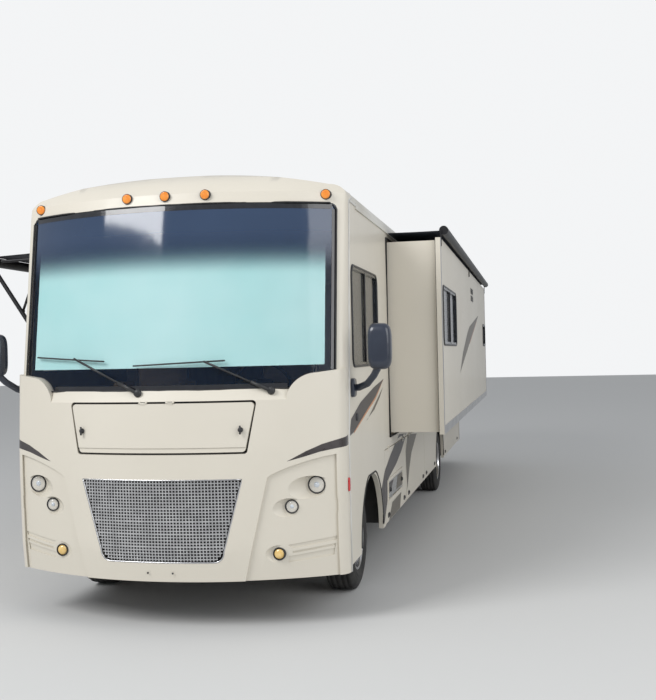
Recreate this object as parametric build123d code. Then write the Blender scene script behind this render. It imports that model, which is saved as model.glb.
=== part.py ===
from build123d import *
from math import asin, cos, degrees, radians, sin, sqrt
import os

# A class A motorhome about 10.9 m long with a full-length slide-out room on its left (driver's) side.
# Lengths are in millimetres. The model is drawn from the vehicle's own datum: X = 0 on the centreline with
# +X to the driver's side, Y = 0 at the seam between front cap and body with +Y to the rear, Z = 0 on the ground.
# At the end every piece moves to the row frame, whose origin is the centre of the whole footprint.

# Driving sizes of the body
half_width = 1275
wall = 40
body_length = 10330
body_end = body_length - 58
rear_face = body_length + 60
skirt_z = 390
floor_top = 1120
floor_thick = 60
gutter_z = 3060
crown_z = 3290
roof_corner = 130
roof_thick = 45
roof_start = 450
gap = 8
fit = 0.3

# Driving sizes of the running gear
wheelbase = 5790
front_axle_y = 990
rear_axle_y = front_axle_y + wheelbase
tyre_radius = 412
tyre_width = 245
rim_radius = 247.5
front_track_half = half_width - 235
dual_spacing = 285
rear_track_half = half_width - 290
arch_radius = 555
kingpin_x = front_track_half - 240
rail_inner, rail_outer = 395, 470
rail_mid = (rail_inner + rail_outer) / 2
rail_low = 620
hitch_pin_radius = 8.6
hitch_pin_y = rear_face - 20
hitch_half = 31.75
hitch_wall = 6.35
hitch_z = 370
rail_high = 850

# Driving sizes of the front cap
cap_bow = 2300
cap_skin = 30
cap_low = 350
seam_low_z, seam_high_z, seam_lean = 1250, 3030, 200
glass_low = 1690
glass_high = 3030
glass_half = half_width - 69
glass_thick = 8
ledge_half = 895

# Driving sizes of the slide-out room
slide_front = 2080
slide_rear = body_length - 470
slide_low = 1185
slide_high = 2945
slide_face = half_width + 505
slide_panel = 45
slide_travel = 450

# Reach of the whole footprint, which places the origin of the row frame
bumper_rear = rear_face + 80
cap_front = -500
roller_radius = 42
roller_x = slide_face + 32
awning_x = half_width + 1155
awning_z = 2870
awning_roller_radius = 45
awning_front = 1500
awning_rear = awning_front + 5500
awning_pivot_z = 1200
rafter_z = 2905
strut_share = 0.715
origin_x = (roller_x + roller_radius - awning_x - awning_roller_radius) / 2
origin_y = (bumper_rear + cap_front) / 2

nodes = {}


def block(x, y, z):
    """A box between two values on each axis."""
    size = [abs(b - a) for a, b in (x, y, z)]
    middle = [(a + b) / 2 for a, b in (x, y, z)]
    return Pos(*middle) * Box(*size)


def rod(axis, radius, start, end, at):
    """A round bar along an axis letter, from start to end, through the other two coordinates in at."""
    length = abs(end - start)
    middle = (start + end) / 2
    if axis == "X":
        return Pos(middle, at[0], at[1]) * Rot(0, 90, 0) * Cylinder(radius, length)
    if axis == "Y":
        return Pos(at[0], middle, at[1]) * Rot(90, 0, 0) * Cylinder(radius, length)
    return Pos(at[0], at[1], middle) * Cylinder(radius, length)


def bar(a, b, radius):
    """A round bar between two points."""
    path = Line(a, b)
    return sweep(Plane(origin=path @ 0, z_dir=path % 0) * Circle(radius), path=path)


def side_plate(outline, x0, x1):
    """An outline drawn in Y and Z, given thickness from x0 to x1."""
    return extrude(Plane.YZ.offset(min(x0, x1)) * outline, amount=abs(x1 - x0))


def front_plate(outline, y0, y1):
    """An outline drawn in X and Z, given thickness from y0 back to y1."""
    return extrude(Plane.XZ.offset(-y1) * outline, amount=y1 - y0)


def round_rect(u0, u1, v0, v1, radius):
    """A rectangle with round corners between two values each way."""
    return Pos((u0 + u1) / 2, (v0 + v1) / 2) * RectangleRounded(u1 - u0, v1 - v0, radius)


def fused(shapes):
    """All the shapes joined into one."""
    shapes = list(shapes)
    first = shapes[0]
    return first + shapes[1:] if len(shapes) > 1 else first


def both_sides(shape):
    """The shape and its mirror image across the centreline."""
    return [shape, mirror(shape, about=Plane.YZ)]


def hinge_pair(axis, centre, at, door_leaf, fixed_leaf, barrel=5.0, pin=2.0, width=60.0, ear=12.0):
    """One hinge as fixed and moving solids. A leaf is a pair of ranges in the two axes across the pin."""
    a, b = centre - width / 2, centre + width / 2

    def leaf(start, end, across):
        spans = {"X": [(start, end), *across], "Y": [across[0], (start, end), across[1]], "Z": [*across, (start, end)]}
        return block(*spans[axis])

    moving = rod(axis, barrel, a, b, at) + leaf(a, b, door_leaf)
    moving -= rod(axis, pin + fit, a - 1, b + 1, at)
    fixed = [rod(axis, pin, a - ear, b + ear, at)]
    for start, end in ((a - fit - ear, a - fit), (b + fit, b + fit + ear)):
        fixed.append(rod(axis, barrel, start, end, at))
        fixed.append(leaf(start, end, fixed_leaf))
    return fused(fixed), moving


# Front cap: horizontal sections of one bowed front, two round corners and straight sides, joined by rules.
def cap_section(z, front_y, corner_radius, inset, back_y):
    half = half_width - inset
    bow = cap_bow - inset
    corner = max(corner_radius - inset, 12)
    centre_y = front_y + cap_bow
    corner_x = half - corner
    corner_y = centre_y - sqrt((bow - corner) ** 2 - corner_x**2)
    reach = bow / (bow - corner)
    meet_x = corner_x * reach
    meet_y = centre_y + (corner_y - centre_y) * reach
    mid = radians(30)
    mid_x = corner_x + corner * cos(mid)
    mid_y = corner_y - corner * sin(mid)
    edges = [
        Line((half, back_y), (half, corner_y)),
        ThreePointArc((half, corner_y), (mid_x, mid_y), (meet_x, meet_y)),
        ThreePointArc((meet_x, meet_y), (0, front_y + inset), (-meet_x, meet_y)),
        ThreePointArc((-meet_x, meet_y), (-mid_x, mid_y), (-half, corner_y)),
        Line((-half, corner_y), (-half, back_y)),
        Line((-half, back_y), (half, back_y)),
    ]
    return Pos(0, 0, z) * make_face(edges)


def cap_loft(table, inset=0.0, back=320.0):
    """Rows of the table are height, the front's Y at the centreline, and the corner's radius."""
    back_y = cap_bow - sqrt(cap_bow**2 - half_width**2) + back
    return loft([cap_section(z, front_y, corner, inset, back_y) for z, front_y, corner in table], ruled=True)


def ahead_of_seam(forward=0.0):
    """All that lies in front of the seam between cap and body, which leans back from the belt up."""
    outline = make_face(
        Polyline(
            (-900, 0),
            (-forward, 0),
            (-forward, seam_low_z),
            (seam_lean - forward, seam_high_z),
            (seam_lean - forward, gutter_z),
            (roof_start - forward, gutter_z + 60),
            (roof_start - forward, 3500),
            (-900, 3500),
            close=True,
        )
    )
    return side_plate(outline, -1400, 1400)


# Columns: height, front Y at the centreline, corner radius
fascia_rows = [
    (cap_low, -455, 110),
    (560, -482, 110),
    (1060, cap_front, 110),
    (1250, cap_front, 110),
    (1612, -480, 105),
]
ledge_row = [(glass_low, -424, 100)]
shoulder_row = [(1850, -468, 100)]
screen_rows = [(1600, -437, 100), (glass_high + 10, -225, 60)]
dome_rows = [
    (glass_high + 10, -225, 60),
    (3110, -208, 60),
    (3180, -150, 60),
    (3240, -60, 60),
    (3285, 80, 60),
    (3310, 260, 60),
]
crown_edge_z = gutter_z


def crown_outline(lower=0.0):
    """The roof's cross-section, drawn in X and Z, from the ground to the crowned top."""
    half = half_width - lower
    top = crown_z - lower
    edge = crown_edge_z - lower
    shoulder = roof_corner
    upper_z = edge + 120
    return make_face(
        [
            Line((-half, 0), (half, 0)),
            Line((half, 0), (half, edge)),
            ThreePointArc((half, edge), (half - 30, edge + 80), (half - shoulder, upper_z)),
            ThreePointArc((half - shoulder, upper_z), (0, top), (shoulder - half, upper_z)),
            ThreePointArc((shoulder - half, upper_z), (30 - half, edge + 80), (-half, edge)),
            Line((-half, edge), (-half, 0)),
        ]
    )


def crown_solid(y0, y1, lower=0.0):
    return front_plate(crown_outline(lower), y0, y1)


def shoulder_outline():
    """One side of the fascia below its rounded shoulder, drawn in X and Z on the driver's side."""
    top_z = 1825
    return make_face(
        [
            Line((ledge_half, 0), (half_width + 50, 0)),
            Line((half_width + 50, 0), (half_width + 50, top_z)),
            Line((half_width + 50, top_z), (1090, top_z - 30)),
            ThreePointArc((1090, top_z - 30), (955, top_z - 85), (ledge_half, 1640)),
            Line((ledge_half, 1640), (ledge_half, 0)),
        ]
    )


def pod_outline():
    """The corner panel that carries the lamps, drawn in X and Z on the driver's side."""
    return make_face(
        [
            Line((735, 300), (860, 1075)),
            ThreePointArc((860, 1075), (1020, 1170), (1215, 1215)),
            Line((1215, 1215), (1215, 300)),
            Line((1215, 300), (735, 300)),
        ]
    )


grille_top, grille_low = 1063, 490
grille_top_half, grille_low_half = 590, 435
hood_top, hood_low = 1600, 1256
hood_top_half, hood_low_half = 686, 618
hood_gap = 14
hood_thick = 24
pod_depth = 18


def grille_outline(grow=0.0):
    corners = [
        (-grille_top_half - grow, grille_top + grow),
        (grille_top_half + grow, grille_top + grow),
        (grille_low_half + grow, grille_low - grow),
        (-grille_low_half - grow, grille_low - grow),
    ]
    face = make_face(Polyline(*corners, close=True))
    return fillet(face.vertices().sort_by(Axis.Y)[:2], 70)


def hood_outline(grow=0.0):
    corners = [
        (-hood_top_half - grow, hood_top + grow),
        (hood_top_half + grow, hood_top + grow),
        (hood_low_half + grow, hood_low - grow),
        (-hood_low_half - grow, hood_low - grow),
    ]
    face = make_face(Polyline(*corners, close=True))
    return fillet(face.vertices(), 26)


# Lamps in the corner panels. Columns: X, Z, lens radius, pocket half-width, pocket half-height, pocket floor Y
lamp_rows = [
    (1071, 1000, 62, 118, 88, -205),
    (909, 858, 48, 92, 66, -272),
    (821, 532, 45, 84, 60, -330),
]


def lamp_pockets():
    """Scoops that face straight forward, so that the bowed panel leaves a crescent beside each lamp."""
    cuts = []
    for x, z, radius, half_x, half_z, floor_y in lamp_rows:
        shift = half_x - radius - 14
        scoop = Pos(x - shift, z) * Ellipse(half_x, half_z)
        cuts.append(front_plate(scoop, -700, floor_y))
    return cuts


def louvre_cuts():
    """Two long flutes beside the fog lamp."""
    cuts = []
    for low, high, inner in ((560, 598, 905), (500, 545, 925)):
        outline = make_face(Polyline((inner, low), (1215, low + 12), (1235, high + 12), (inner - 20, high), close=True))
        cuts.append(front_plate(outline, -700, 200) & (cap_loft(fascia_rows, -10) - cap_loft(fascia_rows, pod_depth + 22)))
    return cuts


def cap_band(rows, depth_a, depth_b):
    """The layer between two depths under the cap's outer face."""
    return cap_loft(rows, depth_a) - cap_loft(rows, depth_b)


def pod_faces():
    return both_sides(front_plate(pod_outline(), -800, 100))


def fascia_solid(inset=0.0):
    """The filled nose below the windshield, with a shoulder at each side."""
    centre_zone = block((-ledge_half, ledge_half), (-800, 600), (0, glass_low + 20))
    centre = cap_loft(fascia_rows + ledge_row, inset) & centre_zone
    sides = cap_loft(fascia_rows + shoulder_row, inset)
    return fused([centre] + [sides & zone for zone in both_sides(front_plate(shoulder_outline(), -800, 600))])


def build_front_cap():
    fascia = fascia_solid()
    hollow_rows = [(cap_low - 60, -455, 110)] + fascia_rows[1:-1]
    hollow_rows += [(1612 - cap_skin, -480, 105), (glass_low - cap_skin, -424, 100)]
    screen = cap_loft(screen_rows)
    dome = cap_loft(dome_rows) & crown_solid(-800, 900)
    outside = fused([fascia, screen, dome]) & ahead_of_seam()
    inner_screen = cap_loft([(1500, -452, 100)] + screen_rows, cap_skin, 520)
    inner_dome_rows = [(glass_high, -226, 60)] + [(z - cap_skin / 2, y, c) for z, y, c in dome_rows[1:]]
    inner_dome = cap_loft(inner_dome_rows, cap_skin, 520) & crown_solid(-800, 1000, cap_skin + 15)
    shell = outside - cap_loft(hollow_rows, cap_skin, 520) - inner_screen - inner_dome
    opening = front_plate(round_rect(-glass_half, glass_half, glass_low, glass_high, 45), -800, 350)
    shell -= opening - fascia
    shell -= front_plate(grille_outline(6), -800, 0)
    shell -= front_plate(hood_outline(hood_gap), -800, 0)
    return shell


nodes["front_cap"] = build_front_cap()

glass_face = front_plate(round_rect(-glass_half + fit, glass_half - fit, glass_low + fit, glass_high - fit, 45), -800, 350)
nodes["windshield"] = (cap_band(screen_rows, 6, 6 + glass_thick) & glass_face) - fascia_solid(-2)
shade_face = front_plate(round_rect(-1130, 1130, glass_low + 40, 2720, 60), -800, 350)
nodes["window_covers"] = (cap_band(screen_rows, 6 + glass_thick + fit, 20 + fit) & shade_face) - fascia_solid(-fit)
nodes["hood_door"] = cap_band(fascia_rows, 0, hood_thick) & front_plate(hood_outline(), -800, 0)
hood_hinge_y, hood_hinge_z = -482, 1606
for x in (-100, 100):
    ys = (hood_hinge_y, hood_hinge_y + 16)
    fixed, moving = hinge_pair(
        "X", x, (hood_hinge_y, hood_hinge_z), (ys, (1594, hood_hinge_z)), (ys, (hood_hinge_z, 1618)), 4, 1.8, 40, 10
    )
    nodes["front_cap"] += fixed
    nodes["hood_door"] += moving

# Grille: a frame that carries a mesh of upright and level bars
grille_ring = front_plate(grille_outline(6 - fit) - grille_outline(-26), -800, 0)
grille_mesh = front_plate(grille_outline(-20), -800, 0)
nodes["grille"] = fused([cap_band(fascia_rows, -4, 30) & grille_ring, cap_band(fascia_rows, 14, 20) & grille_mesh])

# Front lamps: headlamp, turn lamp and fog lamp on each side. Columns: X, Z, lens radius
lens_rows = [(1071, 1000, 64), (909, 858, 50), (821, 532, 46)]


def front_lamp(x, z, radius):
    face_y = cap_front + cap_bow - sqrt(cap_bow**2 - x**2)
    return Pos(x, face_y + 14, z) * Rot(90, 0, -degrees(asin(x / cap_bow)) * -1) * Cylinder(radius, 26)


front_lamps = []
for x, z, radius in lens_rows:
    face_y = cap_front + cap_bow - sqrt(cap_bow**2 - x**2)
    front_lamps += both_sides(rod("Y", radius, face_y - 14, face_y + 26, (x, z)))
    hole = both_sides(rod("Y", radius + 0.5, face_y - 120, face_y + 160, (x, z)))
    nodes["front_cap"] -= hole
marker_xs = (-1132, -300, 0, 300, 1132)
marker_radius = 38
for x in marker_xs:
    face_y = dome_rows[0][1] + cap_bow - sqrt(cap_bow**2 - x**2)
    front_lamps.append(rod("Y", marker_radius, face_y - 10, face_y + 40, (x, 3092)))
    nodes["front_cap"] -= rod("Y", marker_radius + 0.5, face_y - 120, face_y + 160, (x, 3092))
nodes["lamps"] = fused(front_lamps)

# Body shell: two side walls, a crowned roof, a rear wall and a floor
arch_front_y, arch_rear_y = front_axle_y, rear_axle_y
arch_top = 936
# Windows in the side walls. Columns: wall sign, front Y, rear Y, low Z, high Z
window_rows = [
    (1, 190 + 30, 1430, 1820, 2590),
    (-1, 190 + 30, 1430, 1820, 2590),
    (-1, 3150, 4450, 1800, 2450),
    (-1, 5000, 5800, 1800, 2450),
    (-1, body_length - 2180, body_length - 980, 1750, 2450),
]
window_radius = 80
# Bay doors below the floor. Columns: name, wall sign, front Y, rear Y
bay_rows = [
    ("bay_door_left_1", 1, 1700, 3120),
    ("bay_door_left_2", 1, 3140, 4830),
    ("bay_door_left_3", 1, 4850, rear_axle_y - 600),
    ("bay_door_left_4", 1, rear_axle_y + 640, body_length - 350),
    ("bay_door_right_1", -1, 3060, 4600),
    ("bay_door_right_2", -1, 4620, rear_axle_y - 600),
    ("bay_door_right_3", -1, rear_axle_y + 640, body_length - 350),
]
bay_low, bay_high = 400, 1050
hatch_front, hatch_rear, hatch_low, hatch_high = 1850, 2840, 560, 780
entry_front, entry_rear, entry_low, entry_high = 1900, 2640, 420, 2900
slide_opening = (slide_front - 50, slide_rear + 50, slide_low - 25, slide_high + 23)


def arch_outline(y, grow=0.0):
    """A wheel arch: a half circle on straight legs, drawn in Y and Z."""
    radius = arch_radius + grow
    centre_z = arch_top - arch_radius
    return Pos(y, centre_z) * Circle(radius) + Pos(y, centre_z - 400) * Rectangle(2 * radius, 800)


def window_outline(y0, y1, z0, z1, grow=0.0):
    return round_rect(y0 - grow, y1 + grow, z0 - grow, z1 + grow, window_radius + grow)


def build_wall(sign):
    x0, x1 = sorted((sign * (half_width - wall), sign * half_width))
    plate = block((x0, x1), (-50, body_end - fit), (skirt_z, gutter_z - fit))
    plate -= ahead_of_seam(-2)
    holes = []
    for y in (arch_front_y, arch_rear_y):
        holes.append(side_plate(arch_outline(y), x0 - 50, x1 + 50))
    for side, y0, y1, z0, z1 in window_rows:
        if side == sign:
            holes.append(side_plate(window_outline(y0, y1, z0, z1), x0 - 50, x1 + 50))
    for name, side, y0, y1 in bay_rows:
        if side == sign:
            holes.append(block((x0 - 50, x1 + 50), (y0 - gap, y1 + gap), (bay_low - 200, bay_high + gap)))
    if sign > 0:
        y0, y1, z0, z1 = slide_opening
        holes.append(block((x0 - 50, x1 + 50), (y0, y1), (z0, z1)))
    else:
        holes.append(
            block((x0 - 50, x1 + 50), (entry_front - gap, entry_rear + gap), (entry_low - 100, entry_high + gap))
        )
    return plate - holes


nodes["wall_left"] = build_wall(1)
nodes["wall_right"] = build_wall(-1)

roof_zone = block((-half_width - 100, half_width + 100), (0, body_end - fit), (gutter_z, 3600))
roof_shell = (crown_solid(0, body_end - fit) - crown_solid(-100, rear_face + 40, roof_thick)) & roof_zone
nodes["roof"] = roof_shell - ahead_of_seam(-2)

rear_skin = 50
behind = (body_end - 200, rear_face + 400)
rear_outer = crown_solid(body_end, rear_face) & block((-1400, 1400), behind, (skirt_z, 3600))
rear_slots = [block((x - 33, x + 33), behind, (600, 703)) for x in (-rail_mid, rail_mid)]
rear_slots.append(block((-50, 50), behind, (300, hitch_z + hitch_half + 20)))
rear_hollow = block((75 - half_width, half_width - 75), (behind[0], rear_face - rear_skin), (skirt_z + 60, gutter_z - 10))
nodes["rear_cap"] = rear_outer - [rear_hollow] - rear_slots

well_inner = half_width - 515
floor_front = 20 + fit
floor_half = half_width - wall - fit
floor_plate = block((-floor_half, floor_half), (floor_front, body_end - fit), (floor_top - floor_thick, floor_top))
well_step = block((-half_width - 25, -well_inner), (entry_front - 20, entry_rear + 20), (1000, 1200))
nodes["floor"] = floor_plate - well_step

# Storage bays behind the doors: open boxes hung below the floor
bay_boxes = []
bay_spans = [
    (1, bay_rows[0][2], bay_rows[2][3]),
    (1, bay_rows[3][2], bay_rows[3][3]),
    (-1, bay_rows[4][2], bay_rows[5][3]),
    (-1, bay_rows[6][2], bay_rows[6][3]),
]
for side, y0, y1 in bay_spans:
    xs = sorted((side * 620, side * (half_width - 45)))
    outer = block(xs, (y0, y1), (bay_low + 10, floor_top - floor_thick - fit))
    inner_x = sorted((side * 640, side * (half_width + 25)))
    bay_boxes.append(outer - block(inner_x, (y0 + 20, y1 - 20), (bay_low + 30, 1100)))
nodes["storage_bays"] = fused(bay_boxes)

# Doors of the bays, each hung at its top edge
bay_thick = 34
hinge_out = 6
hinge_z = bay_high + 6
for name, side, y0, y1 in bay_rows:
    x0, x1 = sorted((side * (half_width - bay_thick), side * half_width))
    door = block((x0, x1), (y0, y1), (bay_low, bay_high))
    wall_name = "wall_left" if side > 0 else "wall_right"
    for y in (y0 + 0.15 * (y1 - y0), y1 - 0.15 * (y1 - y0)):
        xs = sorted((side * (half_width - 1), side * (half_width + hinge_out)))
        fixed, moving = hinge_pair(
            "Y", y, (side * (half_width + hinge_out), hinge_z), (xs, (bay_high - 20, hinge_z)), (xs, (hinge_z, bay_high + 26))
        )
        nodes[wall_name] += fixed
        door += moving
    if name == "bay_door_left_1":
        door -= block((x0 - 50, x1 + 50), (hatch_front, hatch_rear), (hatch_low, hatch_high))
    nodes[name] = door
hatch_frame = block((half_width - 20, half_width + 6), (hatch_front + 0.3, hatch_rear - 0.3), (hatch_low + 0.3, hatch_high - 0.3))
hatch_hole = block((half_width - 30, half_width + 20), (hatch_front + 30, hatch_rear - 30), (hatch_low + 30, hatch_high - 30))
nodes["utility_hatch"] = block(
    (half_width - 12, half_width + 2),
    (hatch_front + 36, hatch_rear - 36),
    (hatch_low + 42, hatch_high - 36),
)
hatch_frame -= hatch_hole
for y in (hatch_front + 160, hatch_rear - 160):
    xs = (half_width - 1, half_width + 8)
    fixed, moving = hinge_pair(
        "Y", y, (half_width + 8, hatch_low + 37), (xs, (hatch_low + 37, hatch_low + 54)), (xs, (hatch_low + 20, hatch_low + 37))
    )
    hatch_frame = fused([hatch_frame, fixed])
    nodes["utility_hatch"] += moving
nodes["bay_door_left_1"] = fused([nodes["bay_door_left_1"], hatch_frame])

# Entry door and the step well behind it
entry_outline = round_rect(entry_front, entry_rear, entry_low, entry_high, 40)
entry_panel = side_plate(entry_outline, -half_width, -half_width + 40)
entry_glass = side_plate(round_rect(entry_front + 160, entry_rear - 120, 1850, 2500, 60), -half_width - 25, -half_width + 75)
nodes["entry_door"] = entry_panel - entry_glass
entry_hinge_y = entry_front - 4
for z in (700, 1500, 2500):
    at = (-half_width - 14, entry_hinge_y)
    xs = (-half_width - 14, -half_width + 1)
    fixed, moving = hinge_pair("Z", z, at, (xs, (entry_hinge_y, entry_front + 26)), (xs, (entry_hinge_y - 26, entry_hinge_y)), 6, 3, 90)
    nodes["wall_right"] += fixed
    nodes["entry_door"] += moving
well_outer, well_mid = half_width - 50, half_width - 295
step_rows = [(460, 500, -well_outer, -well_mid), (780, 820, -well_mid - 20, -well_inner)]
steps = [block((x0, x1), (entry_front, entry_rear), (z0, z1)) for z0, z1, x0, x1 in step_rows]
riser = block((-well_mid - 20, -well_mid), (entry_front, entry_rear), (460, 820))
back = block((-well_inner - 20, -well_inner), (entry_front, entry_rear), (780, floor_top - floor_thick - fit))
cheeks = [block((-well_outer, -well_inner), ys, (460, floor_top - floor_thick - fit)) for ys in ((entry_front - 18, entry_front), (entry_rear, entry_rear + 18))]
nodes["entry_step"] = fused(steps + [riser, back] + cheeks)

# Side windows: a frame round each opening and its glass
window_pieces = []
for side, y0, y1, z0, z1 in window_rows:
    xs = (side * (half_width - wall + 2), side * (half_width + 6))
    ring = side_plate(window_outline(y0, y1, z0, z1, -fit) - window_outline(y0, y1, z0, z1, -34), *xs)
    pane = side_plate(window_outline(y0, y1, z0, z1, -33), side * (half_width - 16), side * (half_width - 10))
    window_pieces.append(ring + pane)
pane_y = (entry_front + 160, entry_rear - 120)
nodes["side_windows"] = fused(window_pieces)
nodes["entry_door"] += side_plate(round_rect(pane_y[0] + fit, pane_y[1] - fit, 1850.3, 2499.7, 59.7), -half_width + 10, -half_width + 16)
nodes["window_covers"] += [ side_plate(round_rect(180, 1480, 1780, 2620, 30), half_width - wall - fit - 15, half_width - wall - fit)]

# Slide-out room: front and rear walls, roof and floor as one box, and the outer wall with its flange
slide_inner = half_width - 95
box_outer = block((slide_inner, slide_face - slide_panel), (slide_front, slide_rear), (slide_low, slide_high))
box_hollow = block((slide_inner - 180, slide_face + 220), (slide_front + 40, slide_rear - 40), (slide_low + 45, slide_high - 40))
nodes["slide_box"] = box_outer - box_hollow
face_ys = (slide_front - 45, slide_rear + 45)
face_zs = (slide_low - 20, slide_high + 20)
slide_window_rows = [(2150, 3670, 1980, 2540), (slide_rear - 710, slide_rear - 60, 2000, 2350)]
face = block((slide_face - slide_panel + fit, slide_face), face_ys, face_zs)
slide_holes = []
for y0, y1, z0, z1 in slide_window_rows:
    slide_holes.append(side_plate(window_outline(y0, y1, z0, z1), slide_face - 80, slide_face + 20))
nodes["slide_face"] = face - slide_holes
slide_window_pieces = []
for y0, y1, z0, z1 in slide_window_rows:
    ring = window_outline(y0, y1, z0, z1, -fit) - window_outline(y0, y1, z0, z1, -34)
    pane = side_plate(window_outline(y0, y1, z0, z1, -33), slide_face - 16, slide_face - 10)
    slide_window_pieces.append(side_plate(ring, slide_face - 40, slide_face + 6) + pane)
nodes["slide_windows"] = fused(slide_window_pieces)

# Topper over the slide-out room: a roller on brackets at the outer wall, and its fabric
roller_z = 3030
roller = rod("Y", roller_radius, slide_front - 20, slide_rear + 20, (roller_x, roller_z))
bracket_plates = []
for y in (slide_front - 34, (slide_front + slide_rear) / 2, slide_rear + 20):
    bracket_plates.append(block((slide_face + 0.3, slide_face + 12), (y, y + 14), (slide_high - 60, roller_z)))
nodes["topper_roller"] = fused([roller] + bracket_plates)
nodes["topper_fabric"] = block(
    (half_width + 11.5 + fit, roller_x - roller_radius - fit), (slide_front, slide_rear), (roller_z - 1.5, roller_z + 1.5)
)
for y in (slide_front + 220, slide_front + 2020, slide_front + 3820, slide_rear - 2160, slide_rear - 360):
    pad = block((half_width - wall, half_width), (y, y + 80), (slide_opening[2] - 5, slide_low - fit))
    nodes["wall_left"] += pad
for side in (-1, 1):
    xs = sorted((side * (half_width - 1), side * (half_width + 11.5)))
    nodes["roof"] += block(xs, (460, body_length - 100), (gutter_z - 30, gutter_z + 12)) - nodes[f"wall_{'left' if side > 0 else 'right'}"]

# Patio awning on the right wall, run out: main arms with the roller, rafters, struts and the fabric
awning_foot = Vector(-half_width - 40, 0, awning_pivot_z)
awning_tip = Vector(-awning_x, 0, awning_z)
rafter_foot = Vector(-half_width - 40, 0, rafter_z)
rafter_tip = Vector(-awning_x + 85, 0, rafter_z - 30)
strut_foot = awning_foot + (awning_tip - awning_foot) * strut_share
strut_tip = rafter_foot + (rafter_tip - rafter_foot) * 0.59


def awning_bar(a, b, y, radius):
    return bar((a.X, y, a.Z), (b.X, y, b.Z), radius)


bracket_pieces, arm_pieces, rafter_pieces, strut_pieces = [], [], [], []
for y, inward in ((awning_front, 1), (awning_rear, -1)):
    strut_y = y + inward * 37
    rafter_y = y + inward * 75
    channel = block((-half_width - 14, -half_width - fit), (y - 30, y + 30), (awning_pivot_z - 60, rafter_z + 30))
    foot_pin = rod("Y", 9, y - 34, y + 34, (awning_foot.X, awning_foot.Z))
    foot_ears = [block((-half_width - 54, -half_width - 10), ys, (awning_pivot_z - 40, awning_pivot_z + 24)) for ys in ((y - 36, y - 24), (y + 24, y + 36))]
    rafter_ears = [block((-half_width - 54, -half_width - fit), (rafter_y + d, rafter_y + d + 8), (rafter_z - 24, rafter_z + 24)) for d in (-26, 18)]
    rafter_pin = rod("Y", 7, rafter_y - 24, rafter_y + 24, (rafter_foot.X, rafter_foot.Z))
    rafter_pad = block((-half_width - 5, -half_width - fit), (min(y, rafter_y) - 26, max(y, rafter_y) + 26), (rafter_z - 24, rafter_z + 24))
    bracket_pieces.append(fused([channel, foot_pin, rafter_pin, rafter_pad] + foot_ears + rafter_ears))
    arm = awning_bar(awning_foot, awning_tip, y, 20) + rod("Y", 22, y - 22, y + 22, (awning_foot.X, awning_foot.Z))
    arm += rod("Y", awning_roller_radius, y - 24, y + 24, (awning_tip.X, awning_tip.Z))
    arm_pieces.append(arm - rod("Y", 9.3, y - 60, y + 60, (awning_foot.X, awning_foot.Z)))
    rafter = awning_bar(rafter_foot, rafter_tip, rafter_y, 15) + rod("Y", 16, rafter_y - 16, rafter_y + 16, (rafter_foot.X, rafter_foot.Z))
    rafter_pieces.append(rafter - rod("Y", 7.3, rafter_y - 60, rafter_y + 60, (rafter_foot.X, rafter_foot.Z)))
    strut_low = strut_foot + (strut_tip - strut_foot) * 0.0
    strut = awning_bar(strut_low, strut_tip - Vector(0, 0, 16), strut_y, 12) + rod("Y", 14, strut_y - 13, strut_y + 13, (strut_foot.X, strut_foot.Z))
    strut += rod("Y", 8, min(strut_y, y + inward * 20.4), max(strut_y, y + inward * 20.4), (strut_foot.X, strut_foot.Z))
    strut_pieces.append(strut)
nodes["awning_brackets"] = fused(bracket_pieces)
nodes["awning_arms"] = fused(arm_pieces)
nodes["awning_rafters"] = fused(rafter_pieces)
nodes["awning_struts"] = fused(strut_pieces)
roller_span = (awning_front + 24.3, awning_rear - 24.3)
nodes["awning_roller"] = rod("Y", awning_roller_radius, *roller_span, (awning_tip.X, awning_tip.Z))
fabric_outline = make_face(
    Polyline(
        (-half_width - fit, rafter_z + 68),
        (-half_width - fit, rafter_z + 71),
        (-awning_x + 8, awning_z + awning_roller_radius + 3.5),
        (-awning_x + 8, awning_z + awning_roller_radius + 0.5),
        close=True,
    )
)
nodes["awning_fabric"] = front_plate(fabric_outline, awning_front + 40, awning_rear - 40)

# On the roof: two air conditioners and three vents
roof_units = []
for y in (3700, body_length - 2330):
    roof_units.append(block((-350, 350), (y, y + 1000), (crown_z - 20, crown_z + 330)))
for x, y in ((0, 2400), (0, 5600), (500, body_length - 1030)):
    roof_units.append(block((x - 200, x + 200), (y, y + 400), (crown_z - 60, crown_z + 110)))
nodes["roof_units"] = fused(roof_units) - crown_solid(0, body_length, -fit)

# Back of the body: lamps, bumper and ladder
tail_rows = [(1080, 1500), (1080, 1350), (1080, 1200)]
tail_lamps = []
for x, z in tail_rows:
    tail_lamps += both_sides(rod("Y", 55, rear_face + fit, rear_face + 18, (x, z)))
nodes["lamps"] += tail_lamps
rail_end = body_end - 22
bumper_half = half_width - 125
bumper_plate = block((-bumper_half, bumper_half), (bumper_rear - 45, bumper_rear), (430, 630))
bumper_arms = [block((x - 30, x + 30), (rail_end + fit, bumper_rear - 50), (640, 700)) for x in (-rail_mid, rail_mid)]
bumper_posts = [block((x - 30, x + 30), (bumper_rear - 60, bumper_rear - 20), (600, 700)) for x in (-rail_mid, rail_mid)]
nodes["rear_bumper"] = fused([bumper_plate] + bumper_arms + bumper_posts)
ladder_y = rear_face + 90
ladder_posts = [rod("Z", 14, 900, 3200, (x, ladder_y)) for x in (-900, -560)]
ladder_rungs = [rod("X", 14, -900, -560, (ladder_y, z)) for z in range(1000, 3100, 320)]
ladder_feet = [rod("Y", 14, rear_face + fit, ladder_y, (x, z)) for x in (-900, -560) for z in (960, 2000, 3000)]
nodes["rear_ladder"] = fused(ladder_posts + ladder_rungs + ladder_feet)

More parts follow.
